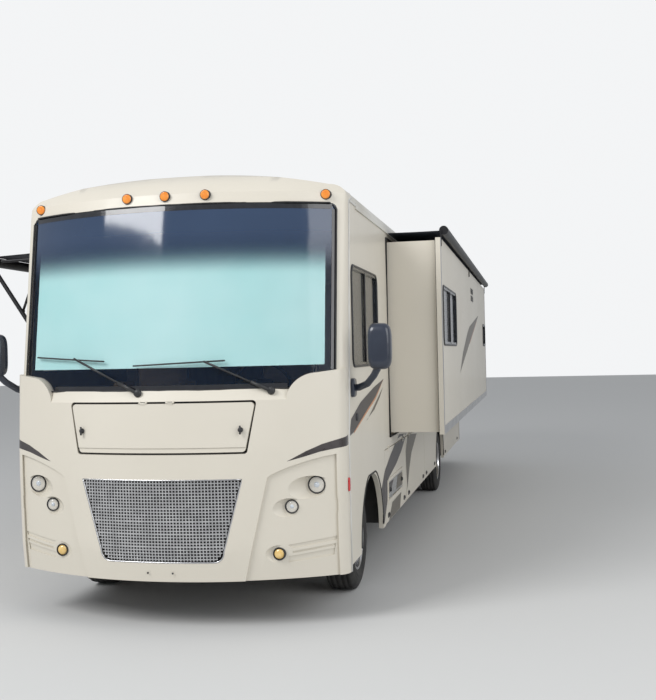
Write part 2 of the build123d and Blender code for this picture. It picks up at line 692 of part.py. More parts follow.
# Mirrors: a foot on the body, an arm and a tall head on each side
mirror_head = Pos(half_width + 240, 0, 1970) * Box(170, 110, 330)
mirror_arm = bar((half_width + 20, 180, 1670), (half_width + 225, 20, 1840), 26) - block((0, half_width + fit), (-900, 900), (0, 3000))
mirror_foot = block((half_width + fit, half_width + 30), (120, 250), (1600, 1740))
nodes["mirrors"] = fused(both_sides(fused([mirror_head, mirror_arm, mirror_foot])))

# Wipers: a pivot, an arm and a blade on each half
wiper_rows = [((-740, 1716), (-1010, 1905), (-1190, -870, 1905)), ((-55, 1716), (-340, 1885), (-620, -240, 1880))]
wipers = []
for pivot, tip, blade in wiper_rows:
    py = screen_rows[0][1] + cap_bow - sqrt(cap_bow**2 - pivot[0] ** 2)
    ty = -395 + cap_bow - sqrt(cap_bow**2 - tip[0] ** 2)
    arm = bar((pivot[0], py - 5, pivot[1]), (tip[0], ty - 34, tip[1]), 9)
    stick = bar((blade[0], -395 + cap_bow - sqrt(cap_bow**2 - blade[0] ** 2) - 30, blade[2]), (blade[1], -395 + cap_bow - sqrt(cap_bow**2 - blade[1] ** 2) - 30, blade[2]), 9)
    post = rod("Y", 15, py - 30, py + 60, (pivot[0], 1672))
    crank = bar((pivot[0], py - 24, 1672), (pivot[0], py - 5, pivot[1] + 4), 10)
    wipers.append(fused([arm, stick, post, crank]))
nodes["wipers"] = fused(wipers) - fascia_solid(-fit) - cap_loft(screen_rows, -fit)

# Chassis: two channel rails, cross-members and floor beams
rail_pieces = []
for side in (-1, 1):
    rail_pieces.append(block(sorted((side * rail_inner, side * rail_outer)), (-330, rail_end), (rail_low, rail_high)))
beam_ys = (1650, 2900, 4300, 5700, rear_axle_y + 820, rail_end - 1350, rail_end - 100)
crosses = [block((-rail_inner - 5, rail_inner + 5), (y, y + 60), (rail_low + 40, rail_high - 20)) for y in (-250,) + beam_ys]
beams = [block((-600, 600), (y, y + 60), (rail_high - 5, floor_top - floor_thick - fit)) for y in beam_ys]
hitch_tube = block((-hitch_half, hitch_half), (rail_end - 150, rear_face + 20), (hitch_z - hitch_half, hitch_z + hitch_half))
hitch_bore = hitch_half - hitch_wall
hitch_tube -= block((-hitch_bore, hitch_bore), (rail_end - 50, rear_face + 110), (hitch_z - hitch_bore, hitch_z + hitch_bore))
hitch_tube -= rod("X", hitch_pin_radius, -60, 60, (hitch_pin_y, hitch_z))
hitch_ys = (rail_end - 150, rail_end - 80)
hitch_beam = block((-rail_outer, rail_outer), hitch_ys, (hitch_z - 32, hitch_z + 32))
hitch_plates = [block((x - 37, x + 37), hitch_ys, (hitch_z - 32, rail_low + 5)) for x in (-rail_mid, rail_mid)]
nodes["chassis_frame"] = fused(rail_pieces + crosses + beams + [hitch_tube, hitch_beam] + hitch_plates)
nodes["engine_block"] = fused([block((-310, 310), (-120, 700), (540, 1040)), block((-180, 180), (690, 1560), (520, 820))])
shaft_yokes = [rod("Y", 46, 1560 + fit, 1630, (0, 596)), rod("Y", 46, rear_axle_y - 300, rear_axle_y - 230 - fit, (0, 420))]
nodes["drive_shaft"] = fused([bar((0, 1600, 596), (0, rear_axle_y - 270, 420), 42)] + shaft_yokes)
tank_front = rear_axle_y + 920
tank_ys = (tank_front + 200, tank_front + 900)
tank_straps = [block((fit - rail_inner, rail_inner - fit), (y, y + 50), (640, 656)) for y in tank_ys]
nodes["fuel_tank"] = fused([block((-360, 360), (tank_front, tank_front + 1150), (470, 648))] + tank_straps)
pipe = [
    rod("Y", 32, 800, 1800, (-250, 570)),
    bar((-250, 1790, 570), (-580, 2300, 570), 32),
    rod("Y", 32, 2290, rear_face - 90, (-580, 570)),
    rod("Y", 68, 3200, 4000, (-545, 570)),
]
hangers = [block((-586, -rail_outer - fit), (y, y + 30), (596, 640)) for y in (2500, 5500, 9000)]
nodes["exhaust"] = fused(pipe + hangers)

# Axles, springs and knuckles
hub_z = tyre_radius
front_beam = block((20 - kingpin_x, kingpin_x - 20), (front_axle_y - 45, front_axle_y + 45), (330, 400))
front_ends = []
for side in (-1, 1):
    end_x = sorted((side * (kingpin_x - 60), side * (kingpin_x + 25)))
    front_ends.append(block(end_x, (front_axle_y - 35, front_axle_y + 35), (330, 470)))
front_springs = []
for side in (-1, 1):
    xs = sorted((side * rail_inner, side * rail_outer))
    front_springs.append(block(xs, (front_axle_y - 620, front_axle_y + 620), (470, 500)))
    front_springs.append(block(xs, (front_axle_y - 300, front_axle_y + 300), (399, 480)))
    for y in (front_axle_y - 600, front_axle_y + 600):
        front_springs.append(block(xs, (y - 20, y + 20), (480, rail_low - fit)))
nodes["front_axle"] = fused([front_beam] + front_ends + front_springs)
rear_tube = rod("X", 65, 295 - rear_track_half, rear_track_half - 295, (rear_axle_y, hub_z))
banjo = rod("X", 185, -110, 110, (rear_axle_y, hub_z)) & block((-200, 200), (rear_axle_y - 190, rear_axle_y + 190), (230, 600))
rear_springs = []
for side in (-1, 1):
    xs = sorted((side * rail_inner, side * rail_outer))
    rear_springs.append(block(xs, (rear_axle_y - 700, rear_axle_y + 700), (500, 530)))
    rear_springs.append(block(xs, (rear_axle_y - 350, rear_axle_y + 350), (440, 510)))
    for y in (rear_axle_y - 680, rear_axle_y + 680):
        rear_springs.append(block(xs, (y - 20, y + 20), (520, rail_low - fit)))
pinion = rod("Y", 60, rear_axle_y - 230, rear_axle_y - 100, (0, 420))
nodes["rear_axle"] = fused([rear_tube, banjo, pinion] + rear_springs)
spindle_radius = 30
for side, name in ((1, "knuckle_left"), (-1, "knuckle_right")):
    pin_at = (side * kingpin_x, front_axle_y)
    post = rod("Z", 45, 300, 329.5, pin_at) + rod("Z", 45, 470.5, 505, pin_at)
    web_x = sorted((side * (kingpin_x + 50), side * (kingpin_x + 80)))
    web = block(web_x, (front_axle_y - 50, front_axle_y + 50), (300, 505))
    cap_x = sorted((side * (kingpin_x - 20), side * (kingpin_x + 60)))
    caps = [block(cap_x, (front_axle_y - 40, front_axle_y + 40), zs) for zs in ((300, 329.5), (470.5, 505))]
    spindle = rod("X", spindle_radius, side * (kingpin_x + 70), side * (front_track_half + 40), (front_axle_y, hub_z))
    nodes[name] = fused([web, post, spindle] + caps)
for side in (-1, 1):
    nodes["rear_axle"] += rod("X", spindle_radius + 10, side * (rear_track_half - 305), side * (rear_track_half + 165), (rear_axle_y, hub_z))


# Wheels: a tyre with round shoulders on a disc wheel
def tyre(x):
    half = tyre_width / 2
    section = make_face(
        Polyline(
            (rim_radius, -half * 0.78),
            (rim_radius + 60, -half),
            (tyre_radius - 60, -half),
            (tyre_radius - 14, -half * 0.86),
            (tyre_radius, -half * 0.7),
            (tyre_radius, half * 0.7),
            (tyre_radius - 14, half * 0.86),
            (tyre_radius - 60, half),
            (rim_radius + 60, half),
            (rim_radius, half * 0.78),
            close=True,
        )
    )
    ring = revolve(section, Axis.Y)
    return Pos(x, 0, 0) * Rot(0, 0, 90) * ring


def ring_x(x0, x1, outer, inner):
    x0, x1 = sorted((x0, x1))
    return rod("X", outer, x0, x1, (0, 0)) - rod("X", inner, x0 - 5, x1 + 5, (0, 0))


def front_wheel(side):
    centre = side * front_track_half
    rim = ring_x(centre - 95, centre + 95, rim_radius, rim_radius - 14)
    disc = ring_x(centre + side * 20, centre + side * 34, rim_radius - 10, spindle_radius + 0.5)
    hub = ring_x(centre - side * 80, centre + side * 90, 85, spindle_radius + 0.5)
    cap = rod("X", 70, centre + side * 60, centre + side * 110, (0, 0)) - rod("X", 31, centre + side * 20, centre + side * 60, (0, 0))
    return tyre(centre), fused([rim, disc, hub, cap])


def rear_wheel(side):
    pieces = []
    tyres = []
    for offset in (-1, 1):
        centre = side * (rear_track_half + offset * dual_spacing / 2)
        tyres.append(tyre(centre))
        pieces.append(ring_x(centre - 95, centre + 95, rim_radius, rim_radius - 14))
    face = side * rear_track_half
    pieces.append(ring_x(face - 60, face + 60, rim_radius - 10, 120))
    pieces.append(ring_x(face - side * 120, face + side * 60, 140, spindle_radius + 10.5))
    return tyres, fused(pieces)


for side, name in ((1, "left"), (-1, "right")):
    rubber, wheel = front_wheel(side)
    at = Pos(0, front_axle_y, hub_z)
    nodes[f"front_wheel_{name}"] = at * wheel
    nodes[f"front_tyre_{name}"] = at * rubber
    tyres, wheel = rear_wheel(side)
    at = Pos(0, rear_axle_y, hub_z)
    nodes[f"rear_wheel_{name}"] = at * wheel
    nodes[f"rear_tyres_{name}"] = at * fused(tyres)

# Inside the cab, seen through the glass
dash = cap_loft([(1400, -466, 100)] + screen_rows[:1] + [(1700, -424, 100)], 60, 400) & block((-1300, 1300), (-900, 60), (1450, 1640))
dash_foot = block((-1000, 1000), (-40, 20), (floor_top - 50, 1460))
column = bar((560, 40, 1504), (560, 345, 1693), 25)
wheel_rim = Pos(560, 340, 1690) * Rot(-58, 0, 0) * Torus(215, 14)
spokes = Pos(560, 340, 1690) * Rot(-58, 0, 0) * Box(420, 40, 14)
nodes["dashboard"] = fused([dash, dash_foot, column, wheel_rim, spokes])
seat_pieces = []
for x in (560, -560):
    base = block((x - 120, x + 120), (700, 950), (floor_top + fit, 1420))
    cushion = block((x - 270, x + 270), (560, 1080), (1400, 1560))
    back = block((x - 260, x + 260), (1040, 1180), (1540, 2260))
    seat_pieces.append(fused([base, cushion, back]))
nodes["cab_seats"] = fused(seat_pieces)

os.makedirs("parts", exist_ok=True)
for name, shape in nodes.items():
    export_step(Pos(-origin_x, -origin_y, 0) * shape, f"parts/{name}.step")
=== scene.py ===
import math

import bmesh
import bpy
from mathutils import Matrix, Vector
from mathutils.bvhtree import BVHTree


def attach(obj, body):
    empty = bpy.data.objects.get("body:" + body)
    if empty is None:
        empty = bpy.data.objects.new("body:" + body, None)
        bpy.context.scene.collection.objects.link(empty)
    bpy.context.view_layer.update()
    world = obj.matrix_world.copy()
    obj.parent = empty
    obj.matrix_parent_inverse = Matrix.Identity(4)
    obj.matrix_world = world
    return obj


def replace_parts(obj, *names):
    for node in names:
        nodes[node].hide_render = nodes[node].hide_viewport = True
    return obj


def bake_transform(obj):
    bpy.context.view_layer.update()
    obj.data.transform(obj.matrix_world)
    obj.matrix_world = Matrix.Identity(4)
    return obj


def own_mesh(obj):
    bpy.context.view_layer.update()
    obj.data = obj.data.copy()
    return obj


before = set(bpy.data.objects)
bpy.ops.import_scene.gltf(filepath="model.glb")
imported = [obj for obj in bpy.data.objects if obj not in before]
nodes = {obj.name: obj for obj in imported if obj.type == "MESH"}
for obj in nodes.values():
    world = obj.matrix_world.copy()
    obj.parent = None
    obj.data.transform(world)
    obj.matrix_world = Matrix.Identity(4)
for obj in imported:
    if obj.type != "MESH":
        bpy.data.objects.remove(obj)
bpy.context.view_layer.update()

# Ladder frame, engine block, tank and pipe under the floor.
# Pressed and welded steel, sprayed black, with road dust dried on it.
# The cross-members are welded between the two rails, and the springs are clamped to the axles by U-bolts.
front_axle, rear_axle, hub_high = 990, 6780, 412


def spot(x, y, z):
    """A place given from the vehicle's own datum in millimetres, as a point of the row frame in metres."""
    return Vector((x + 310.5, y - 4985, z)) / 1000


def linked(name, data):
    """A new object for some data, in the scene."""
    piece = bpy.data.objects.new(name, data)
    bpy.context.scene.collection.objects.link(piece)
    return piece


def links_of(material):
    return material.node_tree.nodes, material.node_tree.links


def added(parts, kind, **values):
    """A shader node of a kind, with values on its own sockets."""
    node = parts.new("ShaderNode" + kind)
    for socket, value in values.items():
        node.inputs[socket.replace("_", " ")].default_value = value
    return node


def blotched(name, tone, other, scale, rough, metal=0.0, bump=0.1, grain=400.0, coat=0.0, stretch=(1, 1, 1)):
    """A finish whose colour drifts between two tones, with a fine grain on its surface."""
    material = bpy.data.materials.new(name)
    material.use_nodes = True
    parts, links = links_of(material)
    shader = parts["Principled BSDF"]
    shader.inputs["Metallic"].default_value = metal
    shader.inputs["Coat Weight"].default_value = coat
    shader.inputs["Coat Roughness"].default_value = 0.06
    place = added(parts, "TexCoord")
    shaped = added(parts, "Mapping", Scale=stretch)
    drift = added(parts, "TexNoise", Scale=scale, Detail=5)
    fine = added(parts, "TexNoise", Scale=grain, Detail=3)
    spread = added(parts, "MapRange", To_Min=max(rough - 0.06, 0.02), To_Max=min(rough + 0.08, 1))
    relief = added(parts, "Bump", Strength=bump, Distance=0.001)
    tones = added(parts, "ValToRGB")
    for stop, position, colour in zip(tones.color_ramp.elements, (0.35, 0.7), (tone, other)):
        stop.position = position
        stop.color = (*colour, 1)
    for source, outlet, target, inlet in (
        (place, "Object", shaped, "Vector"),
        (shaped, "Vector", drift, "Vector"),
        (shaped, "Vector", fine, "Vector"),
        (drift, "Fac", tones, "Fac"),
        (tones, "Color", shader, "Base Color"),
        (drift, "Fac", spread, "Value"),
        (spread, "Result", shader, "Roughness"),
        (fine, "Fac", relief, "Height"),
        (relief, "Normal", shader, "Normal"),
    ):
        links.new(source.outputs[outlet], target.inputs[inlet])
    return material


def dress(material, *names):
    for name in names:
        nodes[name].data.materials.clear()
        nodes[name].data.materials.append(material)


def made(name, shapes, material, body="coach", smooth=True):
    """A piece of one or more shapes, each its points and faces in the row frame, riding on one body."""
    points, faces = [], []
    for some_points, some_faces in shapes:
        start = len(points)
        points += [tuple(p) for p in some_points]
        faces += [tuple(start + i for i in face) for face in some_faces]
    mesh = bpy.data.meshes.new(name)
    mesh.from_pydata(points, [], faces)
    mesh.validate()
    mesh.materials.append(material)
    for face in mesh.polygons:
        face.use_smooth = smooth
    piece = linked(name, mesh)
    if body:
        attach(piece, body)
    return piece


def skin_of(rows, rings=True, closed=False, cap_ends=True):
    """A skin through rows of equal count: rings or open lines, the last row joined to the first if closed."""
    count, faces = len(rows[0]), []
    for i in range(len(rows) if closed else len(rows) - 1):
        a, b = i * count, (i + 1) % len(rows) * count
        for k in range(count if rings else count - 1):
            after = (k + 1) % count
            faces.append((a + k, a + after, b + after, b + k))
    points = [p for row in rows for p in row]
    if rings and cap_ends and not closed:
        faces += [tuple(range(count - 1, -1, -1)), tuple(range(len(points) - count, len(points)))]
    return points, faces


def tube(points, radius, sides=8, closed=False):
    """A round bar along a route."""
    rings, count = [], len(points)
    up = Vector((0.13, 0.21, 0.97))
    for i, point in enumerate(points):
        before = points[i - 1] if i or closed else point
        after = points[(i + 1) % count] if i < count - 1 or closed else point
        way = (after - before).normalized()
        side = way.cross(up).normalized()
        over = side.cross(way)
        turns = [2 * math.pi * k / sides for k in range(sides)]
        rings.append([point + radius * (math.cos(turn) * side + math.sin(turn) * over) for turn in turns])
    return skin_of(rings, closed=closed)


frame_black = blotched("frame_black", (0.018, 0.018, 0.019), (0.05, 0.046, 0.04), 3, 0.55, bump=0.3, grain=250)
cast_black = blotched("cast_black", (0.03, 0.03, 0.031), (0.075, 0.065, 0.055), 6, 0.65, 0.4, 0.6, 160)
engine_grey = blotched("engine_grey", (0.16, 0.16, 0.165), (0.3, 0.29, 0.27), 5, 0.6, 0.6, 0.6, 120)
pipe_steel = blotched("pipe_steel", (0.3, 0.29, 0.28), (0.17, 0.13, 0.1), 4, 0.45, 0.9, 0.2, 200)
bay_lining = blotched("bay_lining", (0.045, 0.045, 0.045), (0.07, 0.068, 0.064), 2, 0.7, 0.0, 0.2, 300)
bolt_zinc = blotched("bolt_zinc", (0.45, 0.45, 0.44), (0.3, 0.29, 0.27), 30, 0.4, 0.9, 0.2, 300)
dress(frame_black, "chassis_frame", "fuel_tank")
dress(cast_black, "front_axle", "rear_axle", "knuckle_left", "knuckle_right")
dress(engine_grey, "engine_block")
dress(pipe_steel, "drive_shaft", "exhaust")
dress(bay_lining, "storage_bays", "entry_step")

u_bolts = []
for axle_y, low_z, high_z in ((front_axle, 320, 512), (rear_axle, 325, 552)):
    for spring_x in (-432, 432):
        for y in (axle_y - 70, axle_y + 70):
            half = ((-46, low_z), (-46, high_z), (-30, high_z + 9))
            bend = half + tuple((-x, z) for x, z in reversed(half))
            u_bolts.append(tube([spot(spring_x + x, y, z) for x, z in bend], 0.008))
            for x in (spring_x - 46, spring_x + 46):
                u_bolts.append(tube([spot(x, y, low_z + 8), spot(x, y, low_z + 24)], 0.015, 6))
made("spring_clamps", u_bolts, bolt_zinc)

# Tyres: highway ribs of black rubber with four grooves round the tread and notched shoulders.
# They are moulded in one piece, with raised rings on the wall, and sit on 19.5 inch discs.
tyre_rubber = blotched("tyre_rubber", (0.02, 0.02, 0.02), (0.048, 0.046, 0.043), 9, 0.8, 0.0, 0.5, 300)
tread_radius, rim_seat = 412, 247.5
# Columns of both profiles: distance from the tyre's middle plane, radius
wall_profile = [(-95, rim_seat), (-112, 268), (-121, 296), (-122, 310), (-120, 312), (-121, 330), (-121.5, 334)]
wall_profile += [(-119, 337), (-118, 356), (-113, 372), (-106, 388), (-98, 402)]
tread_profile = []
for groove in (-66, -24, 24, 66):
    edges = ((-6, tread_radius), (-4, 401), (4, 401), (6, tread_radius))
    tread_profile += [(groove + across, radius) for across, radius in edges]


def tyre_shape(centre_x, centre_y, segments=120):
    """A tyre turned about its axle, with every fifth piece of its shoulders and ribs notched."""
    far_wall = [(-a, r) for a, r in reversed(wall_profile)]
    profile = wall_profile + [(-92, 409)] + tread_profile + [(92, 409)] + far_wall
    rows = []
    for i in range(segments):
        turn = 2 * math.pi * i / segments
        row = []
        for a, r in profile:
            notch = 7 if i % 5 == 0 and 86 < abs(a) < 108 else 0
            lug = 5 if i % 5 == 0 and abs(a) < 86 and r == tread_radius else 0
            out = r - notch - lug
            row.append(spot(centre_x + a, centre_y + out * math.sin(turn), hub_high + out * math.cos(turn)))
        rows.append(row)
    return skin_of(rows, rings=False, closed=True)


for name, body, y, centres in (
    ("front_tyre_left", "front_wheel_left", front_axle, (1040,)),
    ("front_tyre_right", "front_wheel_right", front_axle, (-1040,)),
    ("rear_tyres_left", "rear_wheels_left", rear_axle, (842.5, 1127.5)),
    ("rear_tyres_right", "rear_wheels_right", rear_axle, (-842.5, -1127.5)),
):
    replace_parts(made("ribbed_" + name, [tyre_shape(x, y) for x in centres], tyre_rubber, body), name)

# Wheels: polished steel discs with eight hand holes, ten nuts under bright covers and a hub cap.
# Each disc is pressed and welded into its rim; the rear pair share one hub between their tyres.
wheel_polish = blotched("wheel_polish", (0.66, 0.66, 0.67), (0.52, 0.52, 0.53), 8, 0.16, 1.0, 0.05, 500)
nut_chrome = blotched("nut_chrome", (0.82, 0.82, 0.83), (0.7, 0.7, 0.71), 20, 0.07, 1.0, 0.02, 500)
hub_black = blotched("hub_black", (0.02, 0.02, 0.02), (0.05, 0.047, 0.042), 14, 0.5, 0.4, 0.3, 300)


def lathe(profile, centre, axis, sides=32, closed=False):
    """A profile of distance along the axis and radius, in millimetres, turned about the axis."""
    axis = Vector(axis).normalized()
    side = axis.orthogonal().normalized()
    over = axis.cross(side)
    rows = []
    for k in range(sides):
        turn = 2 * math.pi * k / sides
        outward = math.cos(turn) * side + math.sin(turn) * over
        rows.append([centre + (along * axis + radius * outward) / 1000 for along, radius in profile])
    return skin_of(rows, rings=closed, closed=True)


def solid(points, faces):
    """A closed blank for carving, with its skin facing outward."""
    mesh = bpy.data.meshes.new("blank")
    mesh.from_pydata([tuple(p) for p in points], [], faces)
    maker = bmesh.new()
    maker.from_mesh(mesh)
    bmesh.ops.recalc_face_normals(maker, faces=maker.faces)
    maker.to_mesh(mesh)
    maker.free()
    return linked("blank", mesh)


def settled(piece):
    """A piece's mesh as its modifiers leave it."""
    bpy.context.view_layer.update()
    return bpy.data.meshes.new_from_object(piece.evaluated_get(bpy.context.evaluated_depsgraph_get()))


def carve(piece, blanks, operation="DIFFERENCE"):
    """Cuts blanks out of a piece, adds them to it or keeps what they share, and drops the blanks."""
    for blank in blanks:
        step = piece.modifiers.new("carve", "BOOLEAN")
        step.operation = operation
        step.solver = "EXACT"
        step.object = blank
        fresh = settled(piece)
        piece.modifiers.clear()
        piece.data = fresh
    for blank in blanks:
        bpy.data.objects.remove(blank)
    return piece


def eased(piece, degrees):
    """Smooth shading with edges kept sharp above an angle, and flat faces kept flat."""
    for face in piece.data.polygons:
        face.use_smooth = True
    piece.data.set_sharp_from_angle(angle=math.radians(degrees))
    even = piece.modifiers.new("even_shading", "WEIGHTED_NORMAL")
    even.keep_sharp = True
    even.weight = 80
    return piece


# Columns of every profile: distance outward along the axle, radius
rim_profile = [(-106, 258), (-101, 258), (-99, 248), (-95, 247), (95, 247), (99, 248), (101, 258), (106, 258)]
rim_profile += [(107, 250), (104, 238), (88, 231), (40, 226), (-40, 226), (-88, 231), (-104, 238), (-107, 250)]
front_disc = [(40, 31), (40, 140), (46, 150), (56, 162), (70, 188), (74, 200), (72, 218), (66, 230), (50, 230)]
front_disc += [(56, 214), (60, 198), (54, 184), (40, 164), (26, 146), (26, 31)]
rear_disc = [(0, 41), (14, 41), (14, 146), (20, 160), (38, 192), (60, 212), (70, 222), (72, 230), (56, 230)]
rear_disc += [(50, 220), (24, 196), (2, 160), (0, 150)]
hub_cap = [(38, 0.5), (38, 88), (60, 87), (84, 84), (96, 74), (104, 62), (109, 40), (111, 20), (111, 0.5)]
rear_cap = [(0, 0.5), (0, 86), (14, 84), (24, 70), (30, 40), (31, 0.5)]
rear_hub = [(-100, 41), (-100, 94), (60, 94), (110, 92), (138, 86), (148, 74), (150, 60), (150, 41)]
brake_drum = [(-90, 31), (-90, 84), (-60, 196), (-4, 200), (0, 190), (4, 31)]
front_cover = [(0, 18.5), (6, 18.5), (8, 16.5), (52, 15), (64, 12), (72, 7), (75, 0.5)]
rear_cover = [(0, 18.5), (6, 18.5), (8, 16.5), (26, 15), (36, 11), (40, 0.5)]
valve = [(0, 6), (34, 6), (36, 4), (48, 4), (50, 0.5)]
bolt_circle, nut_turns = 112.5, [k * math.pi / 5 for k in range(10)]


def about_hub(x, axle_y, radius, turn):
    """A spot at a radius and a turn about an axle."""
    return spot(x, axle_y + radius * math.sin(turn), hub_high + radius * math.cos(turn))


def holed_disc(profile, centre, side, hole_radius, hole_circle, first):
    """A turned disc with a ring of eight hand holes through it."""
    disc = solid(*lathe(profile, centre, (side, 0, 0), 96, True))
    for k in range(8):
        turn = math.radians(first + 45 * k)
        hole = centre + Vector((0, hole_circle * math.sin(turn), hole_circle * math.cos(turn))) / 1000
        ends = [hole - Vector((side * 0.1, 0, 0)), hole + Vector((side * 0.16, 0, 0))]
        carve(disc, [solid(*tube(ends, hole_radius / 1000, 24))])
    points = [v.co.copy() for v in disc.data.vertices]
    faces = [tuple(f.vertices) for f in disc.data.polygons]
    bpy.data.objects.remove(disc)
    return points, faces


for side, word in ((1, "left"), (-1, "right")):
    out = (side, 0, 0)
    front_body, rear_body = "front_wheel_" + word, "rear_wheels_" + word
    hub = spot(side * 1040, front_axle, hub_high)
    shapes = [lathe(rim_profile, hub, out, 72, True)]
    shapes.append(holed_disc(front_disc, hub, side, 27, 180, 0))
    wheel = eased(made(f"front_disc_wheel_{word}", shapes, wheel_polish, front_body), 32)
    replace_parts(wheel, "front_wheel_" + word)
    shapes = [lathe(hub_cap, hub, out, 48)]
    nuts = [about_hub(side * 1078, front_axle, bolt_circle, turn) for turn in nut_turns]
    shapes += [lathe(front_cover, nut, out, 14) for nut in nuts]
    shapes.append(lathe(valve, spot(side * 1090, front_axle + 204, hub_high), out, 10))
    eased(made(f"front_nut_covers_{word}", shapes, nut_chrome, front_body), 35)
    drum = [lathe(brake_drum, hub, out, 48, True)]
    eased(made(f"front_brake_disc_{word}", drum, hub_black, front_body), 30)
    middle = spot(side * 985, rear_axle, hub_high)
    shapes = []
    for outward in (1, -1):
        rim_middle = spot(side * 985 + side * outward * 142.5, rear_axle, hub_high)
        shapes.append(lathe(rim_profile, rim_middle, out, 72, True))
        shapes.append(holed_disc(rear_disc, middle, side * outward, 24, 186, 22.5))
    wheel = eased(made(f"rear_disc_wheels_{word}", shapes, wheel_polish, rear_body), 32)
    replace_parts(wheel, "rear_wheel_" + word)
    eased(made(f"rear_hub_{word}", [lathe(rear_hub, middle, out, 48, True)], hub_black, rear_body), 30)
    nuts = [about_hub(side * 999, rear_axle, bolt_circle, turn) for turn in nut_turns]
    shapes = [lathe(rear_cover, nut, out, 14) for nut in nuts]
    shapes.append(lathe(rear_cap, spot(side * 1135, rear_axle, hub_high), out, 40))
    eased(made(f"rear_nut_covers_{word}", shapes, nut_chrome, rear_body), 35)

# Cab floor, dash and steering wheel, seen through the glass.
# The dash is a moulded shell in dark grey-brown, screwed to the cap, with a hood over the instruments.
dash_plastic = blotched("dash_plastic", (0.075, 0.068, 0.062), (0.11, 0.1, 0.09), 8, 0.6, 0.0, 0.4, 350)
wheel_wrap = blotched("wheel_wrap", (0.02, 0.019, 0.018), (0.035, 0.033, 0.03), 40, 0.45, 0.0, 0.7, 500)
plank = (12, 1, 1)
floor_wood = blotched("floor_wood", (0.2, 0.14, 0.09), (0.32, 0.23, 0.15), 1.2, 0.4, grain=40, stretch=plank)
dial_face = blotched("dial_face", (0.01, 0.01, 0.012), (0.03, 0.03, 0.035), 60, 0.2, 0.0, 0.05, 400, 0.5)
dress(dash_plastic, "dashboard")
dress(floor_wood, "floor")
side_way, rear_way, up_way = Vector((1, 0, 0)), Vector((0, 1, 0)), Vector((0, 0, 1))
driver_x = 560
rim_middle = spot(driver_x, 340, 1690)


def second_finish(name, material, wanted):
    """A second finish on those faces of a CAD piece whose middle and direction answer to wanted."""
    mesh = nodes[name].data
    mesh.materials.append(material)
    for face in mesh.polygons:
        if wanted(face.center, face.normal):
            face.material_index = len(mesh.materials) - 1


def ring_of(centre, across, over, radius_a, radius_b, count, power=2.0):
    """Points on a closed round or squarish ring about a centre."""
    ring = []
    for k in range(count):
        turn = 2 * math.pi * k / count
        u, v = math.cos(turn), math.sin(turn)
        ring.append(
            centre
            + math.copysign(abs(u) ** (2 / power), u) * radius_a * across
            + math.copysign(abs(v) ** (2 / power), v) * radius_b * over
        )
    return ring


def stack_of(rows, across, over, count, power, cap_ends=True):
    """A skin through squarish rings, each row the place of its middle and its two half widths."""
    rings = [ring_of(spot(x, y, z), across, over, a / 1000, b / 1000, count, power) for x, y, z, a, b in rows]
    return skin_of(rings, cap_ends=cap_ends)


second_finish("dashboard", wheel_wrap, lambda c, n: (c - rim_middle).length < 0.26 and c.y > spot(0, 180, 0).y)
hood_rows = ((-150, 150, 12), (-60, 205, 60), (20, 215, 78), (40, 205, 70), (30, 190, 56))
rows = [(driver_x, y, 1650, half_wide, half_high) for y, half_wide, half_high in hood_rows]
made("instrument_hood", [stack_of(rows, side_way, up_way, 40, 3, False)], dash_plastic)
dials = []
for x, radius in ((430, 34), (510, 50), (612, 50), (692, 34)):
    profile = [(0, 0.5), (4, radius - 3), (9, radius), (0, radius + 2)]
    dials.append(lathe(profile, spot(x, 12, 1655), rear_way, 28))
made("dials", dials, dial_face)
horn_ring = ring_of(rim_middle, side_way, Vector((0, 0.53, 0.85)), 0.075, 0.06, 28, 3)
face_way = Vector((0, 0.85, -0.53))
horn_rings = []
for share, out in ((1, -0.01), (1, 0.012), (0.85, 0.024), (0.4, 0.028)):
    horn_rings.append([rim_middle + (p - rim_middle) * share - face_way * out for p in horn_ring])
made("horn_pad", [skin_of(horn_rings)], wheel_wrap)

# Cab seats: foam pads in sewn tan leatherette on a steel pedestal, with piping round each pad.
# The covers are pulled over the foam and clipped to the seat pan; the armrests stand on bent tubes.
seat_leather = blotched("seat_leather", (0.3, 0.225, 0.155), (0.37, 0.285, 0.2), 5, 0.5, 0.0, 0.6, 260)
piping_brown = blotched("piping_brown", (0.09, 0.06, 0.04), (0.12, 0.085, 0.06), 20, 0.5, 0.0, 0.4, 500)
pedestal_black = blotched("pedestal_black", (0.02, 0.02, 0.02), (0.04, 0.04, 0.04), 12, 0.45, 0.3, 0.2, 400)


def spots(*places):
    return [spot(*place) for place in places]


